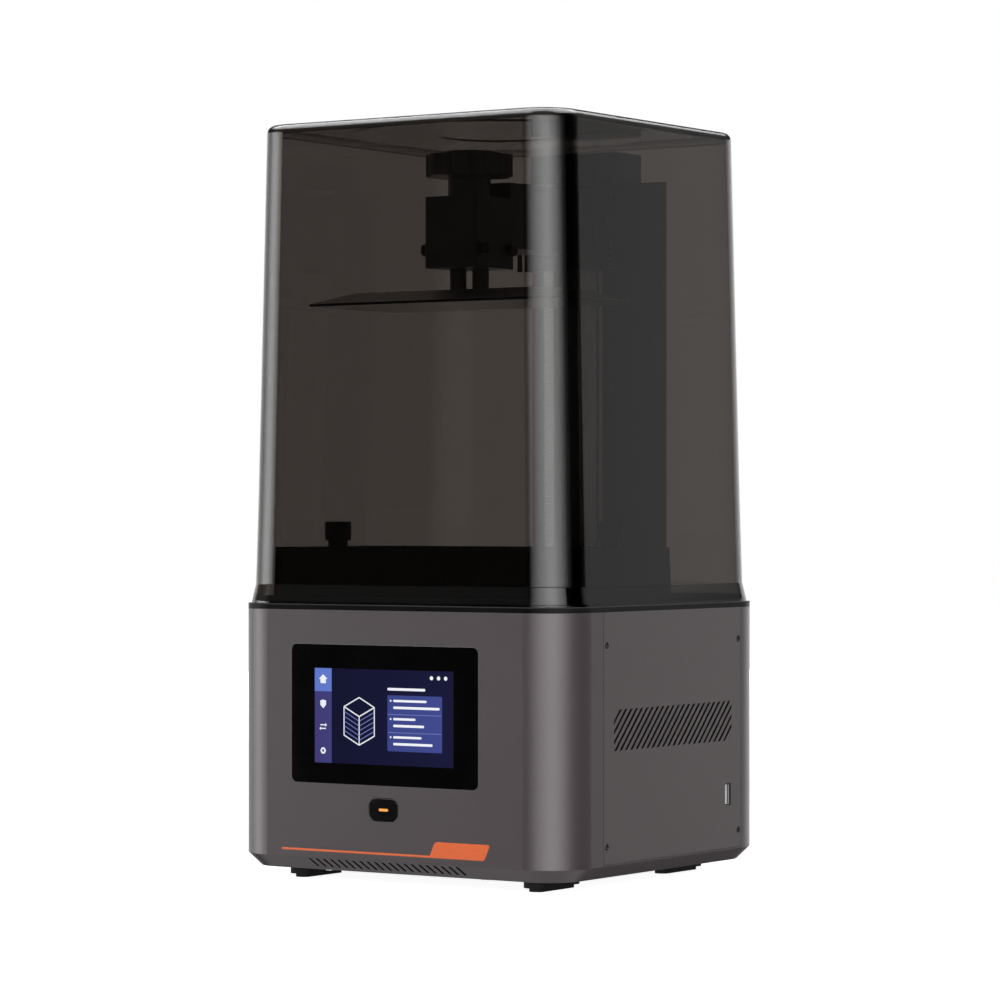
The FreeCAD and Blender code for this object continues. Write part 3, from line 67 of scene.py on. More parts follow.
class Graph:
    """Nodes of a material or of the world."""

    def __init__(self, owner):
        owner.use_nodes = True
        self.owner = owner
        self.tree = owner.node_tree
        self.shader = self.tree.nodes.get("Principled BSDF")

    def add(self, kind, **values):
        node = self.tree.nodes.new("ShaderNode" + kind)
        for key, value in values.items():
            setattr(node, key, value)
        return node

    def supply(self, socket, value):
        """Gives an input a link from another socket, or a constant."""
        if isinstance(value, bpy.types.NodeSocket):
            self.tree.links.new(value, socket)
        else:
            socket.default_value = value

    def fill(self, node, **values):
        """Supplies inputs by name, with _ for a space."""
        for key, value in values.items():
            self.supply(node.inputs[key.replace("_", " ")], value)
        return node

    def put(self, **values):
        """Supplies inputs of the shader."""
        self.fill(self.shader, **values)

    def coords(self, kind="Object"):
        return self.add("TexCoord").outputs[kind]

    def axes(self, kind="Object"):
        return self.fill(self.add("SeparateXYZ"), Vector=self.coords(kind)).outputs

    def noise(self, scale, detail=3.0, rough=0.5, place=None):
        node = self.fill(self.add("TexNoise"), Scale=scale, Detail=detail, Roughness=rough,
                         Vector=place or self.coords())
        return node.outputs["Fac"]

    def ramp(self, value, stops):
        node = self.fill(self.add("ValToRGB"), Fac=value)
        bar = node.color_ramp
        while len(bar.elements) < len(stops):
            bar.elements.new(0.5)
        for element, (place, colour) in zip(bar.elements, stops):
            element.position = place
            element.color = (*colour, 1.0)
        return node.outputs["Color"]

    def varied(self, noise, colour, dark, light):
        """Colour that goes with a noise from dark to light times itself."""
        return self.ramp(noise, [(NOISE_LOW, shade(colour, dark)), (NOISE_HIGH, shade(colour, light))])

    def scaled(self, value, at_low, at_high, low=NOISE_LOW, high=NOISE_HIGH):
        node = self.fill(self.add("MapRange"), Value=value, From_Min=low, From_Max=high, To_Min=at_low,
                         To_Max=at_high)
        return node.outputs["Result"]

    def calc(self, operation, *values):
        node = self.add("Math", operation=operation)
        for socket, value in zip(node.inputs, values):
            self.supply(socket, value)
        return node.outputs[0]

    def chain(self, operation, first, *others):
        """One operation over several values, from the first to the last."""
        for value in others:
            first = self.calc(operation, first, value)
        return first

    def mixed(self, factor, first, second, kind="RGBA", blend="MIX"):
        node = self.fill(self.add("Mix", data_type=kind, blend_type=blend), Factor=factor)
        first_at, second_at, result_at = MIX_SOCKETS[kind]
        self.supply(node.inputs[first_at], first)
        self.supply(node.inputs[second_at], second)
        return node.outputs[result_at]

    def seen(self):
        """1 for rays from the camera, also through clear pieces."""
        rays = self.add("LightPath").outputs
        return self.calc("ADD", rays["Is Camera Ray"], rays["Is Transmission Ray"])

    def relief(self, height, depth, strength, edge):
        """Bump by a height, on edges that are rounded in the shading."""
        bevel = self.fill(self.add("Bevel", samples=4), Radius=edge)
        bump = self.fill(self.add("Bump"), Strength=strength, Distance=depth, Height=height,
                         Normal=bevel.outputs["Normal"])
        self.put(Normal=bump.outputs["Normal"])


def new_graph(name):
    return Graph(bpy.data.materials.new(name))


# Materials

def textured(name, colour, rough, metal=0.0, grain=1500.0, vary=0.12, depth=0.04 * MM, edge=0.5 * MM,
             swing=0.08, gloss=0.5):
    """Moulded, cast or painted surface: fine grain in colour and relief, broad changes of gloss."""
    g = new_graph(name)
    fine = g.noise(grain, detail=2.0, rough=0.6)
    broad = g.noise(18.0, detail=2.0)
    g.put(Base_Color=g.varied(fine, colour, 1 - vary, 1 + vary),
          Roughness=g.scaled(broad, rough - swing, rough + swing),
          Metallic=metal, Specular_IOR_Level=gloss)
    g.relief(fine, depth, strength=0.6, edge=edge)
    return g.owner


def painted(name, colour, node):
    """Grainy paint on the outer faces of the rounded base; cut walls and the inside get a near-black painted
    shade.
    """
    g = Graph(textured(name, colour, 0.3, grain=1300.0, vary=0.07, depth=0.14 * MM, edge=0.2 * MM,
                       swing=0.015, gloss=0.45))
    low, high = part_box("base_shell")
    near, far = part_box(node)
    corner_r, chamfer_in, chamfer_up = 28.0 * MM, 8.0 * MM, 7.6 * MM
    x, y, z = g.axes()
    # Distance field of a rounded box: corner_r on the outer faces and less behind them
    out_x = g.calc("SUBTRACT", g.calc("ABSOLUTE", x), far[0] - corner_r)
    out_y = g.calc("SUBTRACT", g.calc("ABSOLUTE", y), high[1] - corner_r)
    corner = g.fill(g.add("CombineXYZ"), X=g.calc("MAXIMUM", out_x, 0.0), Y=g.calc("MAXIMUM", out_y, 0.0))
    reach = g.fill(g.add("VectorMath", operation="LENGTH"), Vector=corner.outputs["Vector"])
    behind = g.calc("MINIMUM", g.calc("MAXIMUM", out_x, out_y), 0.0)
    # The slanted foot rim counts as an outer face, and so do the facets of the arcs
    chamfer = g.scaled(z, chamfer_in, 0.0, low[2], low[2] + chamfer_up)
    spare = g.scaled(g.calc("MINIMUM", out_x, out_y), 0.0, 0.5 * MM, -1.2 * MM, -0.4 * MM)
    distance = g.chain("ADD", reach.outputs["Value"], behind, chamfer, spare)
    paint = g.scaled(distance, 0.0, 1.0, corner_r - 0.2 * MM, corner_r - 0.1 * MM)
    if node != "base_shell":
        # Painted shade: a panel is darker at its front and rear ends, along its seams
        end = g.calc("MINIMUM", g.calc("SUBTRACT", y, near[1]), g.calc("SUBTRACT", far[1], y))
        paint = g.calc("MULTIPLY", paint, g.scaled(end, 0.3, 1.0, 0.4 * MM, 0.7 * MM))
    grained = g.shader.inputs["Base Color"].links[0].from_socket
    # Paint on the outer faces; near-black painted shade on the cut walls, in the slits and inside
    g.put(Base_Color=g.mixed(paint, (*srgb(2, 2, 2), 1.0), grained))
    return g.owner


def rimmed(name):
    """Black moulded deck with painted light and shade on its rim: it is darkest in front and has a painted
    highlight along its top edge.
    """
    g = Graph(textured(name, srgb(21, 20, 21), 0.36, gloss=0.05))
    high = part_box("base_shell")[1]
    rim_top = high[2] + 3.3 * MM
    x, _, z = g.axes()
    # Painted shade and light: the rim is near-black away from the sides and lighter near them
    side = g.scaled(g.calc("ABSOLUTE", x), 0.0, 1.0, high[0] - 15.0 * MM, high[0] - 5.0 * MM)
    tone = g.ramp(side, [(0.0, srgb(6, 6, 6)), (1.0, srgb(26, 25, 26))])
    # Painted highlight: a light line along the top edge of the rim
    edge = g.scaled(z, 0.0, 1.0, rim_top - 0.6 * MM, rim_top - 0.4 * MM)
    g.put(Base_Color=g.mixed(edge, tone, (*srgb(56, 56, 57), 1.0)))
    return g.owner


def brushed(name, colour, rough, axis):
    """Metal with fine lines along one axis."""
    g = new_graph(name)
    across_lines, along_lines = 900.0, 14.0
    scale = [across_lines] * 3
    scale[axis] = along_lines
    stretch = g.fill(g.add("Mapping"), Scale=scale, Vector=g.coords())
    lines = g.noise(1.0, place=stretch.outputs["Vector"])
    g.put(Base_Color=g.varied(lines, colour, 0.82, 1.1),
          Roughness=g.scaled(lines, rough - 0.06, rough + 0.1), Metallic=1.0)
    g.relief(lines, depth=0.02 * MM, strength=0.5, edge=0.4 * MM)
    return g.owner


def threaded(name):
    """Steel of the thread, with a faint glow that is painted light for the bright flanks in the photograph.
    """
    g = Graph(brushed(name, srgb(180, 180, 180), 0.36, axis=0))
    # Painted light: faint white emission
    g.put(Emission_Color=WHITE, Emission_Strength=0.06)
    return g.owner


def smoked(name):
    """Smoke-tinted clear acrylic, with painted shade in the front corners' bends and on the right half of
    the skirt.
    """
    g = new_graph(name)
    low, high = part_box("cover")
    corner_r, draft_side, draft_front = 27.0 * MM, 4.8 * MM, 1.4 * MM
    side, front = high[0] - corner_r, -low[1] - corner_r
    x, y, z = g.axes()
    across = g.calc("SUBTRACT", g.calc("ABSOLUTE", x), g.scaled(z, side, side - draft_side, low[2], high[2]))
    along = g.calc("SUBTRACT", g.calc("MULTIPLY", y, -1.0),
                   g.scaled(z, front, front - draft_front, low[2], high[2]))
    # 0 where the front ends and 1 where the side begins
    bend = g.scaled(g.calc("ARCTAN2", across, along), 0.0, 1.0, 0.0, math.pi / 2)
    # Painted shade: darker tints for the dark bands in the front corners' bends and on the skirt's right
    # half
    clear_tint, bend_line_shade, bend_shade, skirt_shade = (1.0, 0.99, 0.98), grey(0.6), grey(0.14), grey(0.62)
    tint = g.ramp(bend, [(0.0, clear_tint), (0.02, bend_line_shade), (0.08, clear_tint), (0.56, clear_tint),
                         (0.68, bend_shade), (0.9, bend_shade), (0.97, clear_tint)])
    skirt_top, soft = low[2] + 11.0 * MM, 0.5 * MM
    lowest = g.scaled(z, 1.0, 0.0, skirt_top - soft, skirt_top + soft)
    right_half = g.scaled(x, 0.0, 1.0, 20.0 * MM, 60.0 * MM)
    skirt = g.calc("MULTIPLY", lowest, right_half)
    g.put(Base_Color=g.mixed(skirt, tint, (*skirt_shade, 1.0), blend="MULTIPLY"),
          Roughness=g.scaled(g.noise(9.0, detail=2.0), 0.0, 0.012), IOR=1.45, Transmission_Weight=1.0)
    inside = g.fill(g.add("VolumeAbsorption"), Color=(0.410, 0.381, 0.3615, 1.0), Density=900.0)
    g.fill(g.tree.nodes["Material Output"], Volume=inside.outputs["Volume"])
    return g.owner


def clear(name, tint):
    """Clear plastic with a faint haze."""
    g = new_graph(name)
    haze = g.noise(40.0, detail=2.0)
    g.put(Base_Color=g.varied(haze, tint, 0.95, 1.0), Roughness=g.scaled(haze, 0.02, 0.06),
          IOR=1.45, Transmission_Weight=0.9)
    return g.owner


def glossy(name, colour, rough):
    """Polished plastic or glass with faint unevenness."""
    g = new_graph(name)
    wave = g.noise(30.0)
    g.put(Base_Color=g.varied(wave, colour, 0.85, 1.15), Roughness=g.scaled(wave, rough * 0.7, rough * 1.5))
    g.relief(wave, depth=0.004 * MM, strength=0.3, edge=0.3 * MM)
    return g.owner


def lit(name, colour, other, strength=1.0):
    """Self-lit colour that changes softly from left to right."""
    g = new_graph(name)
    across = g.scaled(g.axes()[0], 0.0, 1.0, -60.0 * MM, 50.0 * MM)
    g.put(Base_Color=BLACK, Roughness=0.3, Specular_IOR_Level=0.0,
          Emission_Color=g.ramp(across, [(0.0, colour), (1.0, other)]), Emission_Strength=strength)
    return g.owner


def etched(name, colour):
    """Aluminium plate with a fine engraved dot field and a near-black band of painted shade on the side
    faces above its lower edge.
    """
    g = new_graph(name)
    dots = g.fill(g.add("TexVoronoi"), Scale=420.0, Randomness=0.15, Vector=g.coords()).outputs["Distance"]
    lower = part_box("build_plate")[0][2]
    height = g.scaled(g.axes()[2], 0.0, 1.0, lower, lower + 1.6 * MM)
    # Painted shade: near-black on the side faces just above the lower edge
    bare, dark = grey(1.0), grey(0.01)
    band = g.ramp(height, [(0.0, bare), (0.1, dark), (0.9, dark), (1.0, bare)])
    tone = g.ramp(dots, [(0.12, shade(colour, 0.55)), (0.5, colour)])
    g.put(Base_Color=g.mixed(1.0, tone, band, blend="MULTIPLY"),
          Roughness=g.scaled(g.noise(60.0), 0.36, 0.42), Metallic=1.0)
    g.relief(dots, depth=0.05 * MM, strength=0.3, edge=0.3 * MM)
    return g.owner


def banded(name):
    """Tinned socket: black rim of painted shadow, plated walls, a dark band and a bright band of painted
    light further in; its faint glow is painted light too.
    """
    g = new_graph(name)
    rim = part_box("usb_socket")[1][0]
    depth = g.scaled(g.axes()[0], 0.0, 1.0, rim, rim - 4.0 * MM)
    black, dark, plated, bright = (srgb(*grey(level)) for level in (8, 40, 150, 240))
    tone = g.ramp(depth, [(0.0, black), (0.1, black), (0.14, plated), (0.34, plated), (0.37, dark),
                          (0.5, dark), (0.53, bright), (0.86, bright), (0.9, black)])
    # The faint emission is painted light
    g.put(Base_Color=tone, Emission_Color=tone, Emission_Strength=0.15,
          Roughness=g.scaled(g.noise(900.0), 0.35, 0.5))
    return g.owner


shell_paint = painted("shell_paint", srgb(71, 64, 66), "base_shell")
panel_paint = painted("panel_paint", srgb(75, 69, 70), "side_panel_right")
black_moulded = textured("black_moulded", srgb(21, 20, 21), 0.36, gloss=0.1)
deck_black = rimmed("deck_black")
black_grip = textured("black_grip", srgb(26, 25, 26), 0.4, gloss=0.7)
black_satin = textured("black_satin", srgb(10, 10, 11), 0.38, grain=900.0, vary=0.1, gloss=0.1)
black_anodised = textured("black_anodised", srgb(38, 38, 40), 0.36, metal=0.6, grain=2200.0, vary=0.14)
# Lighter copy of black_anodised: painted light for the head parts, which the lamps barely reach through the
# cover
lit_head_black = textured("lit_head_black", srgb(56, 56, 58), 0.36, metal=0.6, grain=2200.0, vary=0.14)
black_rubber = textured("black_rubber", srgb(20, 20, 20), 0.75, grain=700.0, gloss=0.2)
black_glass = glossy("black_glass", srgb(10, 9, 9), 0.05)
button_black = glossy("button_black", srgb(18, 17, 17), 0.1)
dark_lcd = textured("dark_lcd", srgb(18, 20, 26), 0.42, gloss=0.08)
orange = textured("orange", srgb(231, 106, 52), 0.4, grain=1800.0, vary=0.06)
steel_z = brushed("steel_z", srgb(168, 168, 168), 0.34, axis=2)
steel = brushed("steel", srgb(178, 178, 178), 0.3, axis=0)
dark_steel = brushed("dark_steel", srgb(52, 51, 51), 0.3, axis=0)
alloy = brushed("alloy", srgb(196, 196, 194), 0.34, axis=1)
thread_steel = threaded("thread_steel")
socket_tin = banded("socket_tin")
brass = brushed("brass", srgb(196, 162, 98), 0.3, axis=2)
board = textured("board", srgb(28, 84, 56), 0.4, grain=1200.0, vary=0.2)
bed_metal = etched("bed_metal", srgb(192, 188, 184))
smoke = smoked("smoke")
clear_lens = clear("clear_lens", (0.95, 0.97, 0.98))
glow = lit("glow", srgb(250, 140, 60), srgb(255, 170, 80), strength=1.4)

finishes = {
    shell_paint: ("base_shell",),
    panel_paint: ("side_panel_left", "side_panel_right"),
    deck_black: ("deck",),
    black_moulded: ("light_hood", "fan_frame", "fan_rotor", "power_inlet", "button_housing"),
    black_grip: ("clamp_knob",),
    black_satin: ("vat_tub", "vat_screw_left", "vat_screw_right", "bottom_plate"),
    black_anodised: ("column_plate", "column_cap", "z_motor"),
    lit_head_black: ("lift_arm", "platform_head", "levelling_block", "plate_posts"),
    black_rubber: ("feet",),
    black_glass: ("screen_glass",),
    button_black: ("power_button",),
    dark_lcd: ("masking_screen", "display_module"),
    orange: ("front_stripe",),
    glow: ("button_light",),
    steel_z: ("linear_rail", "rail_screws"),
    thread_steel: ("lead_screw",),
    socket_tin: ("usb_socket",),
    steel: ("bottom_screws", "column_screws", "film_frame", "film_screws", "rail_carriage"),
    dark_steel: ("panel_screws", "level_screws"),
    alloy: ("heat_sink",),
    bed_metal: ("build_plate",),
    brass: ("lead_nut", "board_posts"),
    board: ("led_board", "main_board"),
    clear_lens: ("lens", "release_film"),
    smoke: ("cover",),
}
for finish, names in finishes.items():
    for name in names:
        for slot in nodes[name].material_slots:
            slot.material = finish


# Mesh helpers

def in_scene(name, data):
    obj = bpy.data.objects.new(name, data)
    bpy.context.scene.collection.objects.link(obj)
    return obj


def mesh_object(name, bm, materials):
    mesh = bpy.data.meshes.new(name)
    bm.normal_update()
    bm.to_mesh(mesh)
    bm.free()
    for finish in materials:
        mesh.materials.append(finish)
    return in_scene(name, mesh)


def piece(name, bm, materials, body, smooth=True):
    """Piece of the printer that rides on a body."""
    obj = mesh_object(name, bm, materials)
    if smooth:
        obj.data.shade_smooth()
    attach(obj, body)
    return obj


def bridge(bm, low, high):
    """Faces between two rings of as many vertices."""
    for a, b, c, d in zip(low, low[1:] + low[:1], high[1:] + high[:1], high):
        bm.faces.new((a, b, c, d))


def oblong_ring(bm, z, half_w, half_d, r):
    """Vertices round a rounded rectangle, in mm, starting on the +X side."""
    corner_steps, side_steps = 14, 16
    # A point close beside each arc keeps the flat sides flat in the shading
    beside = 0.4
    corners = []
    for i, (sx, sy) in enumerate(((1, 1), (-1, 1), (-1, -1), (1, -1))):
        cx, cy = sx * (half_w - r), sy * (half_d - r)
        points = []
        for k in range(-1, corner_steps + 2):
            a = math.pi / 2 * (i + min(max(k, 0), corner_steps) / corner_steps)
            ahead = beside * ((k > corner_steps) - (k < 0))
            points.append((cx + r * math.cos(a) - ahead * math.sin(a),
                           cy + r * math.sin(a) + ahead * math.cos(a)))
        corners.append(points)
    verts = []
    for points, after in zip(corners, corners[1:] + corners[:1]):
        (x0, y0), (x1, y1) = points[-1], after[0]
        shares = [k / side_steps for k in range(1, side_steps)]
        between = [(x0 + (x1 - x0) * share, y0 + (y1 - y0) * share) for share in shares]
        verts += [bm.verts.new((x * MM, y * MM, z * MM)) for x, y in points + between]
    return verts


def round_ring(bm, like, r, z):
    """Circle, in mm, whose vertices lie at the same angles as another ring's."""
    angles = [math.atan2(v.co.y, v.co.x) for v in like]
    return [bm.verts.new((r * math.cos(a) * MM, r * math.sin(a) * MM, z * MM)) for a in angles]


# Cover: one closed clear shell with a flared skirt, a rounded roof edge and a shallow round groove

def roof_edge(top, half_w, half_d, r, flat_r, edge, steps):
    """Sizes of the rings over a rounded roof edge, and of one on the flat roof beside it."""
    beside, sharpening = 0.4, 0.9
    sizes = []
    for k in range(1, steps + 1):
        a = math.pi / 2 * k / steps
        inset = edge * (1 - math.cos(a))
        z = top - edge + edge * math.sin(a)
        sizes.append((z, half_w - inset, half_d - inset, r - inset * sharpening))
    sizes.append((top, half_w - edge - beside, half_d - edge - beside, flat_r))
    return sizes


def close_roof(bm, last, top, r_out, r_in):
    """Closes a roof from its last ring to the middle, with a groove between two radii."""
    deep, lip = 0.6, 0.2
    bank = [(0.9, 0.0), (0.4, 0.0), (0.1, lip), (0.0, deep - lip), (-0.3, deep), (-0.8, deep)]
    profile = [(r_out + out, sink) for out, sink in bank]
    profile += [(r_in - out, sink) for out, sink in reversed(bank)]
    for r, sink in profile:
        ring = round_ring(bm, last, r, top - sink)
        bridge(bm, last, ring)
        last = ring
    middle = bm.verts.new((0, 0, top * MM))
    for a, b in zip(last, last[1:] + last[:1]):
        bm.faces.new((a, b, middle))


def build_cover():
    low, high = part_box("cover")
    below_top = 0.5
    bottom, top = low[2] / MM, high[2] / MM - below_top
    wall, roof = 2.5, 3.0
    hem, flare_up, flare_in = 1.2, 10.0, 2.1
    skirt_w, skirt_d, skirt_r, flare_r = high[0] / MM, high[1] / MM, 26.0, 24.8
    wall_in, draft_w, draft_d = 2.4, 6.4, 3.0
    wall_w, wall_d, wall_r = skirt_w - wall_in, skirt_d - wall_in, 24.6
    roof_w, roof_d, roof_r = wall_w - draft_w, wall_d - draft_d, 23.0
    edge, inner_edge = 4.6, 3.5
    flat_r, inner_flat_r = 18.46, 16.9
    groove_out, groove_in = 87.0, 40.0
    # The wall swells towards the skirt over this share of its height
    swell, swell_share = 0.3, 0.2
    sizes = [(bottom + up, skirt_w, skirt_d, skirt_r) for up in (0.0, 0.2, hem)]
    for t in (0.03, 0.25, 0.5, 0.75, 0.97, 1.0):
        sizes.append((bottom + hem + flare_up * t, skirt_w - flare_in * t, skirt_d - flare_in * t,
                      skirt_r + (flare_r - skirt_r) * t))
    start, end = bottom + hem + flare_up, top - edge
    for t in (0.002, 0.05, 0.1, 0.15, 0.2, 0.25, 0.5, 0.75, 0.998, 1.0):
        more = swell * max(0.0, 1.0 - t / swell_share) ** 1.5
        sizes.append((start + (end - start) * t, wall_w - draft_w * t + more, wall_d - draft_d * t + more,
                      wall_r + (roof_r - wall_r) * t + more / 2))
    bm = bmesh.new()
    outer_sizes = sizes + roof_edge(top, roof_w, roof_d, roof_r, flat_r, edge, steps=8)
    outer = [oblong_ring(bm, *size) for size in outer_sizes]
    for a, b in zip(outer, outer[1:]):
        bridge(bm, a, b)
    close_roof(bm, outer[-1], top, groove_out, groove_in)
    inner_sizes = [(z, w - wall, d - wall, r - wall) for z, w, d, r in sizes]
    inner_sizes += roof_edge(top - roof, roof_w - wall, roof_d - wall, roof_r - wall, inner_flat_r,
                             inner_edge, steps=6)
    inner = [oblong_ring(bm, *size) for size in inner_sizes]
    for a, b in zip(inner, inner[1:]):
        bridge(bm, b, a)
    bridge(bm, inner[0], outer[0])
    close_roof(bm, inner[-1], top - roof, groove_out + wall, groove_in - wall)
    bmesh.ops.recalc_face_normals(bm, faces=bm.faces)
    obj = piece("cover_shell", bm, [smoke], "cover")
    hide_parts("cover")


build_cover()


# Lead screw with a two-start thread of 4 mm lead

def build_screw():
    low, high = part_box("lead_screw")
    cx, cy = (low[0] + high[0]) / 2, (low[1] + high[1]) / 2
    crest = (high[0] - low[0]) / 2
    root = crest - 0.8 * MM
    lead, starts = 4.0 * MM, 2
    land, flank = 2.2, 6.0
    around, spacing = 24, 0.45 * MM
    count = int((high[2] - low[2]) / spacing)
    bm = bmesh.new()
    rings = []
    for i in range(count + 1):
        z = low[2] + (high[2] - low[2]) * i / count
        ring = []
        for k in range(around):
            a = 2 * math.pi * k / around
            phase = (starts * (z / lead - a / (2 * math.pi))) % 1.0
            form = min(1.0, max(0.0, land - flank * abs(phase - 0.5)))
            r = root + (crest - root) * form
            ring.append(bm.verts.new((cx + r * math.cos(a), cy + r * math.sin(a), z)))
        rings.append(ring)
    for a, b in zip(rings, rings[1:]):
        bridge(bm, a, b)
    bm.faces.new(list(reversed(rings[0])))
    bm.faces.new(rings[-1])
    obj = piece("screw_thread", bm, [thread_steel], "screw", smooth=False)
    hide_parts("lead_screw")


build_screw()


# Panel screws: domed heads with a hexagon socket

def screw_head(bm, side, seat, y, z):
    """Head on a seat that faces -X or +X."""
    around, socket_r = 24, 1.0
    profile = [(1.9, 0.0), (1.88, 0.35), (1.7, 0.72), (1.35, 0.98), (1.0, 1.1), (0.95, 1.1), (0.9, 1.02),
               (0.88, 0.25)]
    rings = []
    for radius, rise in profile:
        ring = []
        for k in range(around):
            a = 2 * math.pi * k / around
            reach = radius * MM
            if radius < socket_r:
                reach *= math.cos(math.pi / 6) / math.cos(a % (math.pi / 3) - math.pi / 6)
            ring.append(bm.verts.new((seat + side * rise * MM, y + reach * math.cos(a) * side,
                                      z + reach * math.sin(a))))
        rings.append(ring)
    for a, b in zip(rings, rings[1:]):
        bridge(bm, a, b)
    bm.faces.new(rings[-1])


def build_panel_screws():
    low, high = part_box("panel_screws")
    head_r, head_up = 1.9 * MM, 1.0 * MM
    bm = bmesh.new()
    for side in (-1, 1):
        for y in (low[1] + head_r, high[1] - head_r):
            for z in (low[2] + head_r, high[2] - head_r):
                screw_head(bm, side, (high[0] - head_up) * side, y, z)
    bmesh.ops.recalc_face_normals(bm, faces=bm.faces)
    obj = piece("panel_screw_heads", bm, [dark_steel], "base")
    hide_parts("panel_screws")


build_panel_screws()


# Display: plain panels, bars and simple signs on the lit area

DISPLAY_TONES = (
    ("ui_navy", srgb(20, 21, 46), srgb(27, 28, 58)),
    ("ui_bar", srgb(62, 60, 113), srgb(80, 80, 156)),
    ("ui_tab", srgb(96, 118, 200), srgb(110, 134, 212)),
    ("ui_card", srgb(56, 64, 124), srgb(66, 76, 144)),
    ("ui_white", srgb(236, 238, 246), srgb(244, 246, 252)),
    ("ui_rule", srgb(108, 116, 178), srgb(116, 124, 186)),
)
NAVY, BAR, TAB, CARD, PALE, RULE = range(len(DISPLAY_TONES))
BOLD, FINE, HAIR = 0.007, 0.005, 0.004


class Picture:
    """Flat patches in layers on the glass; u and v go from 0 to 1 over the lit area."""

    def __init__(self):
        low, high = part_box("screen_glass")
        below_middle, off_glass = 1.0 * MM, 0.12 * MM
        self.layer_gap = 0.02 * MM
        self.width, self.height = 98.0 * MM, 55.0 * MM
        self.ratio = self.width / self.height
        self.left = (low[0] + high[0]) / 2 - self.width / 2
        self.bottom = (low[2] + high[2]) / 2 - self.height / 2 - below_middle
        self.face = low[1] - off_glass
        self.bm = bmesh.new()

    def patch(self, points, tone, layer):
        y = self.face - layer * self.layer_gap
        verts = [self.bm.verts.new((self.left + u * self.width, y, self.bottom + v * self.height))
                 for u, v in points]
        self.bm.faces.new(verts).material_index = tone

    def panel(self, u0, v0, u1, v1, tone, layer):
        self.patch([(u0, v0), (u1, v0), (u1, v1), (u0, v1)], tone, layer)

    def rounded(self, u0, v0, u1, v1, r, tone, layer):
        steps = 5
        rise = r * self.ratio
        centres = ((u1 - r, v1 - rise), (u0 + r, v1 - rise), (u0 + r, v0 + rise), (u1 - r, v0 + rise))
        points = []
        for i, (u, v) in enumerate(centres):
            angles = [math.pi / 2 * (i + k / steps) for k in range(steps + 1)]
            points += [(u + r * math.cos(a), v + rise * math.sin(a)) for a in angles]
        self.patch(points, tone, layer)

    def line(self, u0, v0, u1, v1, thick, tone, layer):
        du, dv = u1 - u0, (v1 - v0) / self.ratio
        half = thick / 2 / math.hypot(du, dv)
        nu, nv = -dv * half, du * half * self.ratio
        self.patch([(u0 - nu, v0 - nv), (u1 - nu, v1 - nv), (u1 + nu, v1 + nv), (u0 + nu, v0 + nv)],
                   tone, layer)

    def disc(self, u, v, r, tone, layer, sides=16):
        angles = [2 * math.pi * k / sides for k in range(sides)]
        self.patch([(u + r * math.cos(a), v + r * self.ratio * math.sin(a)) for a in angles], tone, layer)


def draw_signs(picture):
    """Side bar with a house, a shield, two arrows and a gear as plain signs."""
    bar_end, tab_foot, layer = 0.124, 0.755, 3
    middle = bar_end / 2
    picture.panel(0, 0, bar_end, 1, BAR, 1)
    picture.panel(0, tab_foot, bar_end, 1, TAB, 2)
    house = [(-0.02, 0.84), (0.02, 0.84), (0.02, 0.885), (0.032, 0.885), (0.0, 0.935), (-0.032, 0.885),
             (-0.02, 0.885)]
    shield = [(0.0, 0.575), (0.02, 0.61), (0.022, 0.655), (0.0, 0.668), (-0.022, 0.655), (-0.02, 0.61)]
    for sign in (house, shield):
        picture.patch([(middle + u, v) for u, v in sign], PALE, layer)
    shaft, neck, tip, half_head = 0.02, 0.016, 0.028, 0.02
    for v, way in ((0.40, 1), (0.362, -1)):
        picture.line(middle - shaft, v, middle + shaft, v, BOLD, PALE, layer)
        neck_u, tip_u = middle + way * neck, middle + way * tip
        picture.patch([(neck_u, v - half_head), (tip_u, v), (neck_u, v + half_head)], PALE, layer)
    gear_v, gear_r, hole_r = 0.128, 0.021, 0.008
    picture.disc(middle, gear_v, gear_r, PALE, layer, sides=6)
    picture.disc(middle, gear_v, hole_r, BAR, layer + 1)


def draw_block(picture):
    """Block built up in layers."""
    left, back, right, front = (0.215, 0.60), (0.325, 0.70), (0.435, 0.60), (0.325, 0.50)
    tall, slices, layer = 0.30, 6, 2
    for start, end in ((left, back), (back, right), (right, front), (front, left)):
        picture.line(*start, *end, BOLD, PALE, layer)
    for u, v in (left, right, front):
        picture.line(u, v, u, v - tall, BOLD, PALE, layer)
    for k in range(1, slices + 1):
        tone, thick = (PALE, BOLD) if k == slices else (RULE, FINE)
        drop = tall * k / slices
        for (u0, v0), (u1, v1) in ((left, front), (front, right)):
            picture.line(u0, v0 - drop, u1, v1 - drop, thick, tone, layer)


def draw_card(picture):
    """Heading bar, a card with three rows of bars, and status dots."""
    left, right, layer = 0.53, 0.92, 2
    picture.rounded(left, 0.785, 0.80, 0.812, 0.006, PALE, layer)
    picture.rounded(left, 0.15, right, 0.735, 0.008, CARD, layer)
    layer += 1
    margin = 0.005
    for v in (0.535, 0.345):
        picture.line(left + margin, v, right - margin, v, HAIR, RULE, layer)
    dot_u, dot_r, bar_left, bar_r = 0.553, 0.006, 0.572, 0.005
    title_share, title_high, text_down, text_high = 0.72, 0.024, 0.072, 0.026
    for v, long in ((0.665, 0.33), (0.475, 0.22), (0.285, 0.28)):
        picture.disc(dot_u, v + title_high / 2, dot_r, PALE, layer)
        picture.rounded(bar_left, v, bar_left + long * title_share, v + title_high, bar_r, PALE, layer)
        text_v = v - text_down
        picture.rounded(bar_left, text_v, bar_left + long, text_v + text_high, bar_r, PALE, layer)
    status_v, status_r = 0.925, 0.012
    for u in (0.845, 0.895, 0.945):
        picture.disc(u, status_v, status_r, PALE, layer)


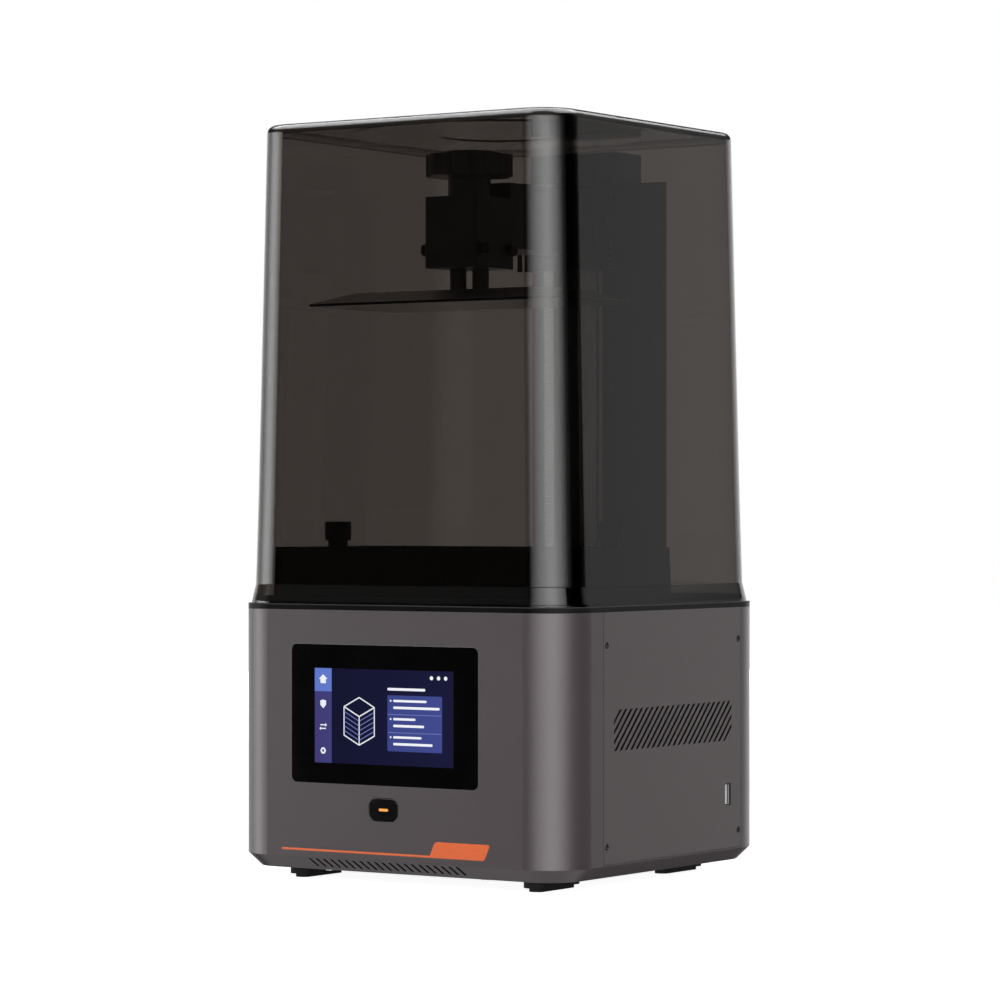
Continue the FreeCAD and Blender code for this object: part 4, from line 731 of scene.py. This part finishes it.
def build_display():
    picture = Picture()
    picture.panel(0, 0, 1, 1, NAVY, 0)
    draw_signs(picture)
    draw_block(picture)
    draw_card(picture)
    for face in picture.bm.faces:
        face.normal_update()
        if face.normal.y > 0:
            face.normal_flip()
    tones = [lit(*tone) for tone in DISPLAY_TONES]
    piece("display_picture", picture.bm, tones, "base", smooth=False)


build_display()


# Floor, world, lamps and camera

def hide_from(obj, *rays):
    """Hides an object from kinds of rays."""
    for kind in rays:
        setattr(obj, "visible_" + kind, False)


def build_floor():
    half, below = 6.0, 0.2 * MM
    bm = bmesh.new()
    corners = ((-half, -half), (half, -half), (half, half), (-half, half))
    bm.faces.new([bm.verts.new((x, y, -below)) for x, y in corners])
    g = new_graph("pale_floor")
    white_level = 0.93
    mottled = g.ramp(g.noise(3.0), [(NOISE_LOW, grey(0.86)), (NOISE_HIGH, grey(0.9))])
    g.put(Base_Color=mottled, Roughness=0.9, Specular_IOR_Level=0.0, Emission_Color=WHITE,
          Emission_Strength=g.calc("MULTIPLY", g.seen(), white_level))
    obj = mesh_object("floor", bm, [g.owner])
    hide_from(obj, "glossy")


build_floor()

# Brightness of the studio walls that reflections see, by degrees from the front by way of the left
WALLS = [(0, 2.8), (20, 0.0), (38, 0.0), (42, 2.0), (50, 3.9), (57, 5.4), (66, 5.4), (75, 3.7), (84, 1.9),
         (93, 0.9), (110, 1.0), (150, 1.1), (170, 1.2), (185, 1.5), (198, 1.2), (204, 0.9), (208, 0.5),
         (214, 0.4), (221, 0.0), (262, 0.0), (274, 0.4), (282, 1.5), (290, 2.7), (298, 3.9), (306, 5.0),
         (316, 6.3), (328, 6.1), (338, 5.0), (346, 4.3), (354, 3.5), (360, 2.8)]
# A ramp holds levels up to 1, so they are divided by this and multiplied again
PEAK = 6.5


def build_world():
    """White to the camera; reflections see walls, a panel overhead, the ground and a dim band."""
    world = bpy.data.worlds.new("studio")
    bpy.context.scene.world = world
    g = Graph(world)
    x, y, up = g.axes("Generated")

    def away_from(direction, near, far, least):
        """1 away from a direction and least towards it."""
        towards = g.add("VectorMath", operation="DOT_PRODUCT")
        g.supply(towards.inputs[0], g.coords("Generated"))
        g.supply(towards.inputs[1], direction)
        return g.scaled(towards.outputs["Value"], 1.0, least, near, far)

    around = g.scaled(g.calc("ARCTAN2", x, y), 0.0, 1.0, -math.pi, math.pi)
    walls = g.ramp(around, [(degrees / 360, grey(level / PEAK)) for degrees, level in WALLS])
    walls = g.chain("MULTIPLY", walls, PEAK, g.scaled(up, 0.0, 1.0, -0.45, -0.15),
                    g.scaled(up, 1.0, 0.06, 0.14, 0.165))
    overhead = g.chain("MULTIPLY", g.scaled(up, 0.0, 8.0, 0.42, 0.66),
                       away_from((-0.5, 0.7, 0.51), 0.88, 0.93, 0.0),
                       away_from((0.5, -0.75, 0.43), 0.75, 0.88, 0.06))
    ground = g.scaled(up, 0.7, 0.0, -0.72, -0.6)
    # The flare of the skirt mirrors the dim band, faintly in front and more on the right side
    dim = g.chain("MULTIPLY", g.scaled(up, 0.0, 1.0, 0.172, 0.19), g.scaled(x, 0.12, 0.42, 0.2, 0.5),
                  g.scaled(up, 1.0, 0.0, 0.44, 0.48), g.scaled(x, 1.0, 0.0, 0.64, 0.8))
    mirrored = g.chain("MAXIMUM", walls, overhead, ground, dim)
    soft_level, white_level = 0.25, 1.0
    glossy_ray = g.add("LightPath").outputs["Is Glossy Ray"]
    light = g.mixed(glossy_ray, soft_level, mirrored, "FLOAT")
    g.fill(g.tree.nodes["Background"], Color=WHITE, Strength=g.mixed(g.seen(), light, white_level, "FLOAT"))


build_world()


def build_card():
    """Curved card that only reflections see: it lights the flare of the skirt at the near corner."""
    low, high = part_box("cover")
    corner_r = 26.0 * MM
    middle_x, middle_y = high[0] - corner_r, low[1] + corner_r
    first, last, step, radius = -22, 78, 4, 0.45
    bottom, top = 0.324, 0.388
    bm = bmesh.new()
    columns = []
    for degrees in range(first, last + 1, step):
        a = math.radians(degrees)
        x, y = middle_x + radius * math.sin(a), middle_y - radius * math.cos(a)
        columns.append([bm.verts.new((x, y, z)) for z in (bottom, top)])
    for a, b in zip(columns, columns[1:]):
        bm.faces.new((a[0], b[0], b[1], a[1]))
    g = new_graph("bright_card")
    x, y, _ = g.axes()
    turned = g.calc("ARCTAN2", g.calc("SUBTRACT", x, middle_x), g.calc("SUBTRACT", middle_y, y))
    along = g.scaled(turned, 0.0, 1.0, math.radians(first), math.radians(last))
    levels = sorted(((180 - degrees) % 360 - 180, level) for degrees, level in WALLS)
    stops = [((place - first) / (last - first), grey(level / PEAK))
             for place, level in levels if first <= place <= last]
    g.put(Base_Color=BLACK, Specular_IOR_Level=0.0, Emission_Color=g.ramp(along, stops),
          Emission_Strength=PEAK)
    obj = mesh_object("card", bm, [g.owner])
    hide_from(obj, "camera", "diffuse", "transmission", "shadow")


build_card()


def lamp(name, place, target, width, height, watts):
    """Soft rectangular lamp that isn't seen itself."""
    data = bpy.data.lights.new(name, "AREA")
    data.shape = "RECTANGLE"
    data.size = width
    data.size_y = height
    data.energy = watts
    obj = in_scene(name, data)
    obj.location = place
    aim = [t - p for t, p in zip(target, place)]
    tilt = math.acos(-aim[2] / math.hypot(*aim))
    obj.rotation_euler = (tilt, 0.0, math.atan2(-aim[0], aim[1]))
    hide_from(obj, "camera", "glossy", "transmission")


lamp("soft_front", place=(1.78, -2.0, 0.75), target=(0, 0, 0.25), width=4.6, height=2.6, watts=78)
lamp("soft_top", place=(0.0, 0.0, 2.4), target=(0, 0, 0.2), width=1.4, height=1.4, watts=14)
lamp("soft_rear", place=(-1.8, 2.1, 0.8), target=(0, 0, 0.25), width=2.6, height=1.8, watts=36)


def build_camera():
    """Level camera, fitted to the edges of the base in the photograph."""
    azimuth, distance, eye_height = math.radians(33.8), 2.328, 0.2155
    sensor, focal_in_sensors = 36.0, 3.887
    data = bpy.data.cameras.new("camera")
    data.sensor_width = sensor
    data.lens = sensor * focal_in_sensors
    data.shift_x = -0.0013
    data.shift_y = 0.0116
    data.clip_end = 50.0
    camera = in_scene("camera", data)
    camera.location = (distance * math.sin(azimuth), -distance * math.cos(azimuth), eye_height)
    camera.rotation_euler = (math.pi / 2, 0.0, azimuth)
    bpy.context.scene.camera = camera


build_camera()
bpy.context.scene.view_settings.view_transform = "Standard"
